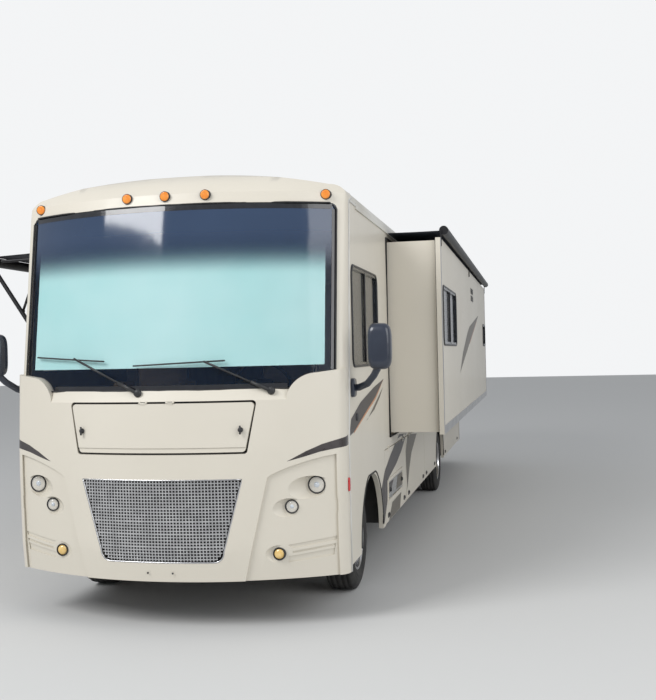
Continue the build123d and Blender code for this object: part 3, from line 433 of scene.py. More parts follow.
def blown_pad(size, cap):
    """The skin of a stuffed pad about the origin: a sewn box blown up by a cloth run, by no more than cap."""
    maker = bmesh.new()
    bmesh.ops.create_cube(maker, size=1)
    for vertex in maker.verts:
        vertex.co = [vertex.co[i] * size[i] for i in range(3)]
    edges = maker.edges[:] + maker.verts[:]
    bmesh.ops.bevel(maker, geom=edges, offset=min(size) * 0.28, segments=3, affect="EDGES")
    mesh = bpy.data.meshes.new("pad_blank")
    maker.to_mesh(mesh)
    maker.free()
    blank = linked("pad_blank", mesh)
    remesh = blank.modifiers.new("even_out", "REMESH")
    remesh.mode = "VOXEL"
    remesh.voxel_size = 0.016
    even = settled(blank)
    blank.modifiers.remove(remesh)
    blank.data = even
    rest = [v.co.copy() for v in even.vertices]
    cloth = blank.modifiers.new("blow_up", "CLOTH")
    cloth.settings.use_pressure = True
    cloth.settings.uniform_pressure_force = 4
    cloth.settings.effector_weights.gravity = 0
    cloth.settings.quality = 5
    for step in range(1, 16):
        bpy.context.scene.frame_set(step)
    grown = [v.co.copy() for v in settled(blank).vertices]
    bpy.context.scene.frame_set(1)
    blank.modifiers.remove(cloth)
    points = []
    for a, b in zip(rest, grown):
        move = b - a
        if move.length > cap:
            move *= cap / move.length
        points.append(a + move)
    faces = [tuple(f.vertices) for f in blank.data.polygons]
    bpy.data.objects.remove(blank)
    return points, faces


def placed(shape, middle, tilt):
    """A pad's skin leaned about the X axis and moved to its place."""
    turned = Matrix.Rotation(math.radians(tilt), 3, "X")
    return [turned @ p + middle for p in shape[0]], shape[1]


def pinched(shape, size, channels):
    """Sewn channels across a pad: the skin is drawn in along lines at those shares of its length."""
    points = []
    for p in shape[0]:
        pull = max(math.exp(-(((p.y - share * size[1]) / 0.009) ** 2)) for share in channels)
        depth = math.copysign(0.007 * pull, p.z) if abs(p.z) > 0.02 else 0
        points.append(Vector((p.x, p.y, p.z - depth)))
    return points, shape[1]


cushion_size, back_size = (0.5, 0.49, 0.13), (0.46, 0.52, 0.115)
cushion = pinched(blown_pad(cushion_size, 0.012), cushion_size, (-0.28, 0.0, 0.28))
back = pinched(blown_pad(back_size, 0.012), back_size, (-0.3, -0.1, 0.1, 0.3))
headrest = blown_pad((0.26, 0.16, 0.085), 0.008)
arm_rows = ((745, 1695, 0.6), (765, 1695, 1), (900, 1697, 1), (1085, 1695, 1), (1105, 1695, 0.6))
foot_rows = ((1121, 130), (1135, 130), (1150, 90), (1380, 90), (1400, 160), (1412, 200))
pads, piping, stands = [], [], []
for x in (driver_x, -driver_x):
    pads.append(placed(cushion, spot(x, 820, 1485), 0))
    pads.append(placed(back, spot(x, 1110, 1820), 90))
    pads.append(placed(headrest, spot(x, 1110, 2175), 90))
    seams = [ring_of(spot(x, 820, 1490), side_way, rear_way, 0.255, 0.25, 60, 9)]
    seams.append(ring_of(spot(x, 1110, 1820), side_way, up_way, 0.235, 0.265, 60, 9))
    piping += [tube(seam, 0.0045, closed=True) for seam in seams]
    for offset in (-283, 283):
        rows = [(x + offset, y, z, 26 * s, 30 * s) for y, z, s in arm_rows]
        pads.append(stack_of(rows, side_way, up_way, 16, 3))
        strut = spots((x + offset, 1085, 1680), (x + offset, 1085, 1520), (x + offset * 0.7, 1085, 1450))
        stands.append(tube(strut, 0.014))
    stands.append(stack_of([(x, 826, z, r, r) for z, r in foot_rows], side_way, rear_way, 24, 4))
    stands += [tube(spots((x + d, 1110, 2060), (x + d, 1110, 2130)), 0.006) for d in (-60, 60)]
seat_pads = made("seat_pads", pads, seat_leather)
made("seat_piping", piping, piping_brown)
made("seat_stands", stands, pedestal_black)
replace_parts(seat_pads, "cab_seats")

# Front cap: one glass-fibre moulding with sunk corner panels, lamp scoops, flutes and creases.
# It is laid up in a mould, sprayed with gel coat, and bonded to the body along the leaning seam.
ivory = blotched("ivory_gel_coat", (0.675, 0.632, 0.545), (0.64, 0.598, 0.512), 0.8, 0.42, 0.0, 0.012, 60, 0.1)
body_half, bow_radius, cap_middle = 1275, 2300, -500
# Columns: height, front Y on the centreline, corner radius
cap_rows = [(300, -455, 110), (350, -455, 110), (560, -482, 110), (1060, -500, 110), (1250, -500, 110)]
cap_rows.append((1612, -480, 105))


def own_copy(name, node):
    """A fresh piece with the same skin as a CAD piece, to be carved."""
    source, mesh = nodes[node].data, bpy.data.meshes.new(name)
    mesh.from_pydata([v.co.copy() for v in source.vertices], [], [tuple(f.vertices) for f in source.polygons])
    maker = bmesh.new()
    maker.from_mesh(mesh)
    bmesh.ops.remove_doubles(maker, verts=maker.verts, dist=0.00001)
    maker.to_mesh(mesh)
    maker.free()
    return linked(name, mesh)


def clad(piece, material):
    piece.data.materials.clear()
    piece.data.materials.append(material)
    for face in piece.data.polygons:
        face.material_index = 0
    return piece


def prism(outline, start, end):
    """A blank with an outline in X and Z, from one Y to another."""
    return solid(*skin_of([[spot(x, y, z) for x, z in outline] for y in (start, end)]))


def bow_section(front_y, corner, inset):
    """The cap's level outline at one height, a shallow bow with round corners, as X and Y."""
    half, radius = body_half - inset, bow_radius - inset
    corner = max(corner - inset, 20)
    middle_y = front_y + bow_radius
    turn_x = half - corner
    turn_y = middle_y - math.sqrt((radius - corner) ** 2 - turn_x**2)
    end_turn = math.atan2(turn_x, middle_y - turn_y)
    right = []
    for k in range(25):
        angle = end_turn * k / 24
        right.append((radius * math.sin(angle), middle_y - radius * math.cos(angle)))
    for k in range(1, 13):
        angle = end_turn + (math.pi / 2 - end_turn) * k / 12
        right.append((turn_x + corner * math.sin(angle), turn_y - corner * math.cos(angle)))
    right.append((half, middle_y - math.sqrt(bow_radius**2 - body_half**2) + 320))
    return [(-x, y) for x, y in reversed(right[1:])] + right


def bow_blank(inset):
    """The filled nose, drawn in by an inset from its outer face."""
    rings = [[spot(x, y, z) for x, y in bow_section(front, corner, inset)] for z, front, corner in cap_rows]
    return solid(*skin_of(rings))


def bow_y(x, front_y=cap_middle):
    """Where the bowed face lies at a distance from the centreline."""
    return front_y + bow_radius - math.sqrt(bow_radius**2 - x**2)


def face_y(x, z):
    """Where the cap's face lies at a distance from the centreline and a height."""
    for (za, ya, _), (zb, yb, _) in zip(cap_rows, cap_rows[1:]):
        if za <= z <= zb:
            return bow_y(x, ya + (yb - ya) * (z - za) / (zb - za))


# Columns: X, Z, lens radius of the head, turn and fog lamps
lamp_rows = [(1071, 1000, 64), (909, 858, 50), (821, 532, 46)]
panel_edge = [(580, 300), (762, 1072), (790, 1092), (850, 1120), (920, 1146), (990, 1168), (1060, 1187)]
panel_edge += [(1140, 1204), (1213, 1215), (1213, 300)]
panel_depth = 17
flute_edges = [
    [(882, 592), (1201, 632), (1193, 604), (910, 566)],
    [(910, 546), (1190, 581), (1177, 498), (880, 468), (880, 510), (1180, 546), (1184, 566), (910, 532)],
]


def lens_plane(x, radius):
    """How far back a lens sits, a little behind the sunk panel at its outer edge."""
    return bow_y(x + radius) + panel_depth + 6


def scoop(side, x, z, radius, grow, behind):
    """The round passage in front of a lens, which runs forward and inboard."""
    start = spot(side * x, lens_plane(x, radius) + behind, z)
    way = Vector((-0.62 * side, -0.77, -0.14))
    turns = [k * math.pi / 24 for k in range(48)]
    ring = [start + Vector((math.cos(t), 0, math.sin(t))) * (radius + 17 + grow) / 1000 for t in turns]
    return solid(*skin_of([ring, [p + way * 0.32 for p in ring]]))


def sunk(edge, side, depth):
    """A blank with an outline on one side, from ahead of the cap to a depth under its face."""
    return carve(prism([(side * x, z) for x, z in edge], -760, 110), [bow_blank(depth)])


front_moulding = own_copy("front_moulding", "front_cap")
for side in (1, -1):
    cups = [carve(scoop(side, x, z, r, 7, 8), [bow_blank(2)], "INTERSECT") for x, z, r in lamp_rows]
    carve(front_moulding, cups, "UNION")
    crease = []
    for x, high, low, depth in ((795, 652, 640, 1), (1015, 800, 734, 14), (1217, 905, 806, 20)):
        y = bow_y(x) + panel_depth
        corners = ((y - 90, high), (y, high), (y + depth * 0.5, low), (y - 90, low))
        crease.append([spot(side * x, y, z) for y, z in corners])
    cuts = [sunk(panel_edge, side, panel_depth), solid(*skin_of(crease))]
    cuts += [sunk(edge, side, panel_depth + 8) for edge in flute_edges]
    carve(front_moulding, cuts + [scoop(side, x, z, r, 0, 0) for x, z, r in lamp_rows])
eased(clad(front_moulding, ivory), 20)
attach(front_moulding, "coach")
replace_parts(front_moulding, "front_cap")


def stops(low, high, cell):
    """Even steps between two lengths, ends left out."""
    count = max(int((high - low) / cell), 1)
    return [low + (high - low) * k / count for k in range(1, count)]


def film(name, outline, node, cast, material, body="coach", lift=1.2, cell=30, only=None):
    """Vinyl or rubber on a CAD piece: an outline in two lengths, cut in cells and pressed on along cast.

    cast is front or left, or a centre in X and Y, about which the first length is an angle from the front.
    only is the span of both lengths outside which the outline is cut away."""
    skin = nodes[node].data
    target = BVHTree.FromPolygons([v.co for v in skin.vertices], [f.vertices for f in skin.polygons])
    maker = bmesh.new()
    maker.faces.new([maker.verts.new((u, v, 0)) for u, v in outline])
    us, vs = zip(*outline)
    cuts = []
    if only:
        u0, u1, v0, v1 = only
        cuts += [((u0, 0, 0), (-1, 0, 0), True), ((u1, 0, 0), (1, 0, 0), True)]
        cuts += [((0, v0, 0), (0, -1, 0), True), ((0, v1, 0), (0, 1, 0), True)]
    first_cell = cell if isinstance(cast, str) else cell * 0.06
    cuts += [((u, 0, 0), (1, 0, 0), False) for u in stops(min(us), max(us), first_cell)]
    cuts += [((0, v, 0), (0, 1, 0), False) for v in stops(min(vs), max(vs), cell)]
    for place, way, clear in cuts:
        geometry = maker.verts[:] + maker.edges[:] + maker.faces[:]
        bmesh.ops.bisect_plane(maker, geom=geometry, plane_co=place, plane_no=way, clear_outer=clear)
    bmesh.ops.triangulate(maker, faces=[f for f in maker.faces if len(f.verts) > 4])
    lost = []
    for vertex in maker.verts:
        u, v = vertex.co.x, vertex.co.y
        if cast == "front":
            start, way = spot(u, -3000, v), Vector((0, 1, 0))
        elif cast == "left":
            start, way = spot(4000, u, v), Vector((-1, 0, 0))
        else:
            turn = math.radians(u)
            way = Vector((-math.sin(turn), math.cos(turn), 0))
            start = spot(cast[0], cast[1], v) - way * 2
        hit = target.ray_cast(start, way)[0]
        if hit is None:
            lost.append(vertex)
        else:
            vertex.co = hit - way * lift / 1000
    bmesh.ops.delete(maker, geom=lost, context="VERTS")
    mesh = bpy.data.meshes.new(name)
    maker.to_mesh(mesh)
    maker.free()
    mesh.materials.append(material)
    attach(linked(name, mesh), body)


def roof_high(x):
    """The height of the crowned roof's edge trim at a distance from the centreline."""
    return 3292 - x * x / 11950


# Tapered vinyl stripes run from above the lamps to the seam, and a seam strip covers the joint to the body.
stripe_tones = (0.035, 0.028, 0.028), (0.05, 0.041, 0.04)
stripe_brown = blotched("stripe_brown", *stripe_tones, 12, 0.28, 0.0, 0.02, 300, 0.5)
seam_white = blotched("seam_white", (0.66, 0.655, 0.63), (0.58, 0.57, 0.545), 6, 0.35, 0.0, 0.05, 300, 0.3)
screw_dark = blotched("screw_dark", (0.03, 0.03, 0.03), (0.06, 0.06, 0.06), 40, 0.5, 0.4, 0.2, 300)
# Columns: degrees from the front, height
stripe_edge = [(-1, 1180), (14, 1208), (30, 1238), (48, 1258), (66, 1270), (66, 1342), (50, 1322), (32, 1290)]
stripe_edge += [(16, 1246), (7, 1212)]
for side, word in ((1, "left"), (-1, "right")):
    edge = [(side * u, v) for u, v in stripe_edge]
    film(f"cap_stripe_{word}", edge, "front_cap", (side * 900, 150), stripe_brown, cell=24)
trim_x = 1277
lean = ((0, 352), (0, 800), (0, 1250), (100, 2140), (200, 3030), (200, 3058))
half_route = [spot(trim_x, y, z) for y, z in lean]
roof_line = [(1262, 3105), (1236, 3146), (1190, 3170), (1145, 3182)]
roof_line += [(x, roof_high(x)) for x in range(1050, -1, -150)]
half_route += [spot(x, 200 + min(250, (z - 3060) * 4.2), z) for x, z in roof_line]
other_half = [Vector((spot(0, 0, 0).x * 2 - p.x, p.y, p.z)) for p in reversed(half_route[:-1])]
made("seam_strip", [tube(half_route + other_half, 0.0075)], seam_white)
plug, ahead_way = [(-1, 0.5), (-1, 7), (2, 7), (3, 5), (1, 0.5)], Vector((0, -1, 0))
plugs = [lathe(plug, spot(x, bow_y(x, -473) - 1, 414), ahead_way, 14) for x in (-92, 92)]
made("tow_hole_plugs", plugs, screw_dark)

# Hood panel: a lift-up lid on two hinges at its top edge, with a bevelled lower edge and two black latches.
# It is the same moulded skin as the cap, and dark edge rubber lies in the gap round it.
black_plastic = blotched("black_plastic", (0.018, 0.018, 0.02), (0.03, 0.03, 0.032), 10, 0.45, 0.0, 0.3, 500)
edge_rubber = blotched("edge_rubber", (0.012, 0.012, 0.013), (0.025, 0.025, 0.025), 20, 0.6, 0.0, 0.2, 300)


def walked(corners):
    """Even places round a closed outline, sixteen to each side."""
    places = []
    for (ua, va), (ub, vb) in zip(corners, corners[1:] + corners[:1]):
        places += [(ua + (ub - ua) * k / 16, va + (vb - va) * k / 16) for k in range(16)]
    return places


hood_skin = own_copy("hood_skin", "hood_door")
bevel = carve(prism([(-640, 1220), (640, 1220), (640, 1290), (-640, 1290)], -760, -20), [bow_blank(7)])
eased(clad(carve(hood_skin, [bevel]), ivory), 30)
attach(hood_skin, "hood")
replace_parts(hood_skin, "hood_door")
latches, latch = [], [(-2, 19), (4, 19), (7, 16), (7, 9), (15, 8), (17, 0.5)]
for x in (-593, 593):
    latches.append(lathe(latch, spot(x, bow_y(x), 1410), ahead_way, 24))
    latches.append(stack_of([(x, bow_y(x) - 15, z, 6, 6) for z in (1380, 1440)], side_way, rear_way, 12, 4))
made("hood_latches", latches, black_plastic, "hood")
gap = walked([(-694, 1608), (694, 1608), (626, 1248), (-626, 1248)])
gap_route = [spot(x, face_y(x, z) + 26, z) for x, z in gap]
made("hood_gap_rubber", [tube(gap_route, 0.006, closed=True)], edge_rubber)

# Grille: a pressed ring with level bars in front of upright bars, all bright and bent to the cap's bow.
# It is welded wire and strip, screwed into the opening from behind, with the radiator's dark core behind it.
grille_bright = blotched("grille_bright", (0.62, 0.62, 0.63), (0.47, 0.47, 0.48), 14, 0.24, 1.0, 0.05, 500)
core_black = blotched("core_black", (0.008, 0.008, 0.009), (0.02, 0.02, 0.02), 30, 0.7, 0.0, 0.5, 150)
bar_half, grille_low, grille_high, turn_high = 4.0, 490, 1063, 560


def sweep(start, end, count):
    """A count of even steps from a start to an end, with both."""
    return [start + (end - start) * k / count for k in range(count + 1)]


def grille_side(z):
    """Half the width of the grille's opening at a height."""
    half = 435 + 155 * (z - grille_low) / (grille_high - grille_low)
    if z < turn_high:
        half -= 70 - math.sqrt(max(70**2 - (turn_high - z) ** 2, 0))
    return half


bars = []
for number, z in enumerate(sweep(grille_low + 20, grille_high - 20, 24)):
    half, thick = grille_side(z) - 8, bar_half * (1.3 if number in (4, 8, 12, 16) else 1)
    rings = []
    for x in sweep(-half, half, 32):
        y = face_y(x, z) + 9
        rings.append(
            spots((x, y - 3, z - thick), (x, y + 2, z - thick), (x, y + 2, z + thick), (x, y - 3, z + thick))
        )
    bars.append(skin_of(rings))
for x in sweep(-566, 566, 49):
    low, left, right = 496, x - bar_half, x + bar_half
    while grille_side(low) - 8 < abs(x):
        low += 4
    rings = []
    for z in [low, *[h for h in (560, 700, 900) if h > low + 20], 1058]:
        y = face_y(x, z) + 13
        rings.append(spots((left, y - 2, z), (right, y - 2, z), (right, y + 2, z), (left, y + 2, z)))
    bars.append(skin_of(rings))
grille_mesh = made("grille_mesh", bars, grille_bright, smooth=False)
side_route = [(grille_side(z) + 3, z) for z in sweep(1066, turn_high, 24)[:-1]]
for k in range(12):
    turn = math.pi / 2 * k / 12
    x = grille_side(turn_high) + 3 - 70 * (1 - math.cos(turn))
    side_route.append((x, turn_high - 73 * math.sin(turn)))
rim_route = [(x, 1066) for x in sweep(-594, 594, 24)[:-1]] + side_route
rim_route += [(x, 487) for x in sweep(370, -370, 24)] + [(-x, z) for x, z in reversed(side_route)]
rim_points = [spot(x, face_y(x, z) + 4, z) for x, z in rim_route]
made("grille_rim", [tube(rim_points, 0.006, closed=True)], grille_bright)
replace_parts(grille_mesh, "grille")
core = [[spot(x, face_y(x, z) + 46, z) for x in range(-600, 601, 100)] for z in (486, 700, 900, 1070)]
made("radiator_screen", [skin_of(core, rings=False)], core_black)

# Lamps: head and turn lamps are bright bowls behind clear lenses, fog and marker lamps amber, tail lamps red.
# Each is a sealed unit in a black barrel, pressed into its hole; the bezels of the tail lamps are screwed on.
bright = blotched("bright_metal", (0.62, 0.62, 0.62), (0.5, 0.5, 0.5), 6, 0.28, 1.0, 0.05, 400)
reflector = blotched("reflector", (0.42, 0.43, 0.46), (0.3, 0.31, 0.34), 20, 0.05, 1.0, 0.0, 300)
amber_lens = blotched("amber_lens", (0.85, 0.24, 0.02), (0.95, 0.36, 0.05), 30, 0.12, 0.0, 0.15, 260, 0.8)
fog_lens = blotched("fog_lens", (0.75, 0.5, 0.16), (0.85, 0.62, 0.28), 30, 0.1, 0.0, 0.15, 260, 0.8)
red_lens = blotched("red_lens", (0.5, 0.012, 0.012), (0.66, 0.03, 0.03), 30, 0.12, 0.0, 0.15, 260, 0.8)
clear_lens = blotched("clear_lens", (0.9, 0.92, 0.95), (0.82, 0.85, 0.9), 12, 0.04, 0.0, 0.05, 200, 0.8)
clear_lens.node_tree.nodes["Principled BSDF"].inputs["Alpha"].default_value = 0.16
lamp_glow = blotched("lamp_glow", (0.5, 0.56, 0.62), (0.66, 0.7, 0.75), 60, 0.05, 0.0, 0.3, 160, 0.9)
fog_radius = 46
barrels, bowls, clears, fogs, bulbs = [], [], [], [], []
for side in (1, -1):
    for x, z, radius in lamp_rows:
        plane, bowl = spot(side * x, lens_plane(x, radius), z), radius - 10
        barrel = [(-24, radius), (4, radius), (9, radius - 3), (9, radius - 7), (2, bowl), (-20, bowl)]
        barrels.append(lathe(barrel, plane, ahead_way, 48))
        shares = (1, 0.95, 0.88, 0.8, 0.68, 0.55, 0.42)
        hollow = [(2 - 26 * math.sqrt(1 - share**2), bowl * share) for share in shares]
        if radius == fog_radius:
            bowls.append(lathe(hollow, plane, ahead_way, 40))
            lens = [(0, bowl), (6, bowl * 0.92), (11, bowl * 0.7), (14, bowl * 0.4), (15, 0.5)]
            fogs.append(lathe(lens, plane, ahead_way, 40))
            continue
        bowls.append(lathe(hollow, plane, ahead_way, 48))
        inner = bowl * 0.42
        holder = [(-22, inner + 5), (-4, inner + 5), (-1, inner + 1), (-6, inner)]
        barrels.append(lathe(holder, plane, ahead_way, 40))
        bulbs.append(lathe([(-6, inner), (0, inner * 0.9), (5, inner * 0.6), (8, 0.5)], plane, ahead_way, 36))
        lens = [(3, bowl), (8, bowl * 0.93), (13, bowl * 0.72), (16, bowl * 0.4), (17, 0.5)]
        clears.append(lathe(lens, plane, ahead_way, 48))
eased(made("lamp_barrels", barrels, black_plastic), 40)
eased(made("lamp_bowls", bowls, reflector), 60)
made("lamp_projectors", bulbs, lamp_glow)
head_lenses = made("head_lenses", clears, clear_lens)
made("fog_lenses", fogs, fog_lens)
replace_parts(head_lenses, "lamps")
marker = [(2, 35), (10, 31), (13, 27), (12, 25), (15, 21), (14, 19), (17, 14), (16, 12), (18, 6), (18, 0.5)]
marker_ring = [(-30, 38), (3, 38), (6, 37), (6, 34), (2, 34)]
planes = [spot(x, bow_y(x, -225) - 2, 3092) for x in (-1132, -300, 0, 300, 1132)]
made("marker_lenses", [lathe(marker, plane, ahead_way, 40) for plane in planes], amber_lens)
made("marker_rings", [lathe(marker_ring, plane, ahead_way, 40) for plane in planes], black_plastic)
tail_lens = [(0, 48), (8, 47), (13, 40), (12, 37), (16, 26), (15, 23), (17, 10), (17, 0.5)]
tail_bezel = [(0, 55), (7, 54), (11, 50), (10, 47), (2, 47)]
for name, profile, material, heights in (
    ("tail_lenses", tail_lens, red_lens, (1500, 1350)),
    ("reversing_lenses", tail_lens, lamp_glow, (1200,)),
    ("tail_bezels", tail_bezel, bright, (1500, 1350, 1200)),
):
    planes = [spot(x, 10390.3, z) for x in (-1080, 1080) for z in heights]
    made(name, [lathe(profile, plane, rear_way, 40) for plane in planes], material)
side_markers = []
for side in (1, -1):
    for y in (-40, 10180):
        out_rows = ((0, 0), (6, 0), (11, -4), (13, -12))
        rows = [(side * (body_half + out), y, 985, 24 + grow, 50 + grow) for out, grow in out_rows]
        side_markers.append(stack_of(rows, rear_way, up_way, 24, 5))
made("side_markers", side_markers, red_lens)

# Windshield: one bent pane of blue tinted glass, bonded in with a black band baked on its edge.
# Behind it hang a mint folding shade and, in the cab side window, a drawn curtain.
tinted = blotched("tinted_glass", (0.02, 0.045, 0.1), (0.03, 0.06, 0.125), 0.9, 0.05, 0.0, 0.0, 50, 0.6)
parts, links = links_of(tinted)
glass_place, glass_axes = added(parts, "TexCoord"), added(parts, "SeparateXYZ")
# The glass turns darker and less clear from 2.5 m up: partly a tinted sun band, partly painted shade over the
# top of the folding shade behind it.
sun_band_and_painted_shade = added(parts, "MapRange", From_Min=2.5, From_Max=2.86, To_Min=0.1, To_Max=0.93)
sun_band_and_painted_shade.interpolation_type = "SMOOTHSTEP"
links.new(glass_place.outputs["Object"], glass_axes.inputs["Vector"])
links.new(glass_axes.outputs["Z"], sun_band_and_painted_shade.inputs["Value"])
links.new(sun_band_and_painted_shade.outputs["Result"], parts["Principled BSDF"].inputs["Alpha"])
dress(tinted, "windshield")
band_black = blotched("band_black", (0.006, 0.007, 0.01), (0.012, 0.013, 0.018), 20, 0.12, 0.0, 0.02, 300, 0.6)
for name, u0, u1, v0, v1 in (
    ("glass_band_top", -1172, 1172, 2986, 3026),
    ("glass_band_low", -1172, 1172, 1694, 1726),
    ("glass_band_left", 1172, 1202, 1694, 3026),
    ("glass_band_right", -1202, -1172, 1694, 3026),
):
    film(name, [(u0, v0), (u1, v0), (u1, v1), (u0, v1)], "windshield", "front", band_black, cell=40)


def glass_front(z):
    """The front Y of the leaning glass on the centreline at a height."""
    return -437 + (z - 1600) * 212 / 1440


gasket = [(-1160, 1690), (1160, 1690), (1206, 1736), (1206, 2984), (1160, 3030)]
gasket += [(-1160, 3030), (-1206, 2984), (-1206, 1736)]
gasket_route = []
for x, z in walked(gasket):
    nearest = min(bow_section(glass_front(z), 92, 0), key=lambda p: abs(p[0] - x))
    gasket_route.append(spot(x, nearest[1] + 3, z))
made("glass_gasket", [tube(gasket_route, 0.006, closed=True)], edge_rubber)

mint_cloth = blotched("mint_shade", (0.5, 0.88, 0.86), (0.66, 0.96, 0.94), 0.9, 0.75, 0.0, 0.2, 300)
curtain_cloth = blotched("curtain_cloth", (0.24, 0.27, 0.29), (0.3, 0.33, 0.35), 4, 0.85, 0.0, 0.3, 500)
rows = []
for z in sweep(1850, 2850, 24):
    row = []
    for x in sweep(-1128, 1128, 96):
        ripple = 1.6 * math.sin(x / 41 + math.sin(z / 160)) + 1.2 * math.sin(z / 38)
        row.append(spot(x, bow_y(x, glass_front(z)) + 19 + ripple, z))
    rows.append(row)
shade = made("folding_shade", [skin_of(rows, rings=False)], mint_cloth)
rows = []
for z in sweep(1782, 2618, 18):
    folds = [1227 + 6.5 * math.sin(k / 3.0 + 0.5 * math.sin(z / 220)) for k in range(161)]
    rows.append([spot(x, 184 + 1292 * k / 160, z) for k, x in enumerate(folds)])
curtain = made("side_curtain", [skin_of(rows, rings=False)], curtain_cloth)
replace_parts(shade, "window_covers")

# Wipers and mirrors: black moulded arms, rubber blades, and rounded mirror heads on bent arms.
# The wiper arms are pinned to spindles under the glass; the mirror feet are bolted through the walls.
blade_rubber = blotched("blade_rubber", (0.01, 0.01, 0.01), (0.02, 0.02, 0.02), 30, 0.7, 0.0, 0.3, 400)
arms, blades = [], []
for (pivot_x, pivot_z), (tip_x, tip_z), (xa, za), (xb, zb) in (
    ((-150, 1716), (-690, 1930), (-1080, 1945), (-440, 1905)),
    ((790, 1716), (330, 1890), (-200, 1868), (470, 1893)),
):
    base = spot(pivot_x, bow_y(pivot_x, -424) - 22, pivot_z - 40)
    head = spot(tip_x, bow_y(tip_x, -395) - 34, tip_z)
    knee = base + (head - base) * 0.3 + Vector((0, -0.012, 0))
    bend = base + (head - base) * 0.7 + Vector((0, -0.006, 0))
    line = zip(sweep(xa, xb, 16), sweep(za, zb, 16))
    route = [spot(x, bow_y(x, glass_front(z)) - 12, z) for x, z in line]
    arms.append(lathe([(-30, 16), (6, 30), (20, 26), (26, 10), (26, 0.5)], base, ahead_way, 24))
    arms.append(tube([base + Vector((0, -0.014, 0)), knee], 0.013))
    arms += [tube([knee, bend, head], 0.008), tube(route, 0.006)]
    blades.append(tube([p + Vector((0, 0.009, 0)) for p in route], 0.003, 6))
wiper_arms = made("wiper_arms", arms, black_plastic)
made("wiper_rubbers", blades, blade_rubber)
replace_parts(wiper_arms, "wipers")
shell_tones = (0.012, 0.018, 0.034), (0.02, 0.028, 0.048)
mirror_shell = blotched("mirror_shell", *shell_tones, 6, 0.3, 0.0, 0.05, 300, 0.5)
mirror_glass = blotched("mirror_glass", (0.75, 0.78, 0.8), (0.7, 0.73, 0.76), 3, 0.03, 1.0, 0.0, 50)
head_rows = ((-55, 0.62), (-48, 0.82), (-30, 0.95), (0, 1.0), (30, 0.99), (50, 0.96), (55, 0.93))
head_rows += ((50, 0.88), (42, 0.87))
arm = ((1286, 185, 1668), (1330, 178, 1672), (1400, 130, 1700), (1460, 60, 1760))
arm += ((1495, 22, 1812), (1500, 18, 1840))
foot_rows = ((1275.5, 1), (1292, 1), (1300, 0.9), (1305, 0.55))
heads, panes = [], []
for side in (1, -1):
    head_x, head_z = side * 1515, 1970
    rows = [(head_x, y, head_z, 87 * s, 166 * s) for y, s in head_rows]
    heads.append(stack_of(rows, side_way, up_way, 44, 4))
    heads.append(tube([spot(side * x, y, z) for x, y, z in arm], 0.026, 16))
    rows = [(side * x, 185, 1670, 65 * s, 70 * s) for x, s in foot_rows]
    heads.append(stack_of(rows, rear_way, up_way, 32, 4))
    panes.append(stack_of([(head_x, y, head_z, 74, 142) for y in (43, 46)], side_way, up_way, 44, 4.5))
mirror_heads = eased(made("mirror_heads", heads, mirror_shell), 50)
made("mirror_panes", panes, mirror_glass)
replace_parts(mirror_heads, "mirrors")

# Walls, doors and lids: glass-fibre skins in ivory with vinyl swooshes, over a raw glass-fibre frame.
# The skins are glued to the wall frames; the bay lids are hung on a long hinge and closed by slam latches.
raw_fibre = blotched("raw_fibre", (0.14, 0.135, 0.12), (0.2, 0.19, 0.165), 6, 0.8, 0.0, 0.5, 120)
bay_doors = [name for name in nodes if name.startswith("bay_door")]
dress(ivory, "wall_left", "wall_right", "rear_cap", "entry_door", "rear_bumper", *bay_doors)
for name in ("wall_left", "wall_right"):
    second_finish(name, raw_fibre, lambda c, n: abs(c.x - 0.3105) < 1.242 and abs(n.x) > 0.7)
window_black = blotched("window_black", (0.012, 0.012, 0.014), (0.02, 0.02, 0.023), 14, 0.35, 0.0, 0.05, 400)
privacy = blotched("privacy_glass", (0.012, 0.018, 0.026), (0.02, 0.028, 0.038), 2, 0.04, 0.0, 0.0, 50, 0.8)
privacy.node_tree.nodes["Principled BSDF"].inputs["Alpha"].default_value = 0.62
dress(privacy, "side_windows", "slide_windows")


def window_frame(out, y0, y1, z0, z1, radius=80):
    """The rounded black frame in a window, a little inside its edges, standing out from its skin."""
    low_y, high_y, low_z, high_z = y0 + 6 + radius, y1 - 6 - radius, z0 + 6 + radius, z1 - 6 - radius
    route = []
    for y, z, first in ((low_y, low_z, 180), (high_y, low_z, 270), (high_y, high_z, 0), (low_y, high_z, 90)):
        for k in range(7):
            turn = math.radians(first + 15 * k)
            route.append(spot(out, y + radius * math.cos(turn), z + radius * math.sin(turn)))
    return tube(route, 0.011, closed=True)


frames = []
for side, y0, y1, z0, z1 in (
    (1, 220, 1430, 1820, 2590),
    (-1, 220, 1430, 1820, 2590),
    (-1, 3150, 4450, 1800, 2450),
    (-1, 5000, 5800, 1800, 2450),
    (-1, 8150, 9350, 1750, 2450),
):
    frames.append(window_frame(side * trim_x, y0, y1, z0, z1))
    if y1 - y0 > 1000:
        x, y = side * 1274, (y0 + y1) / 2
        frames.append(tube(spots((x, y, z0 + 10), (x, y, z1 - 10)), 0.009))
made("window_frames", frames, window_black)

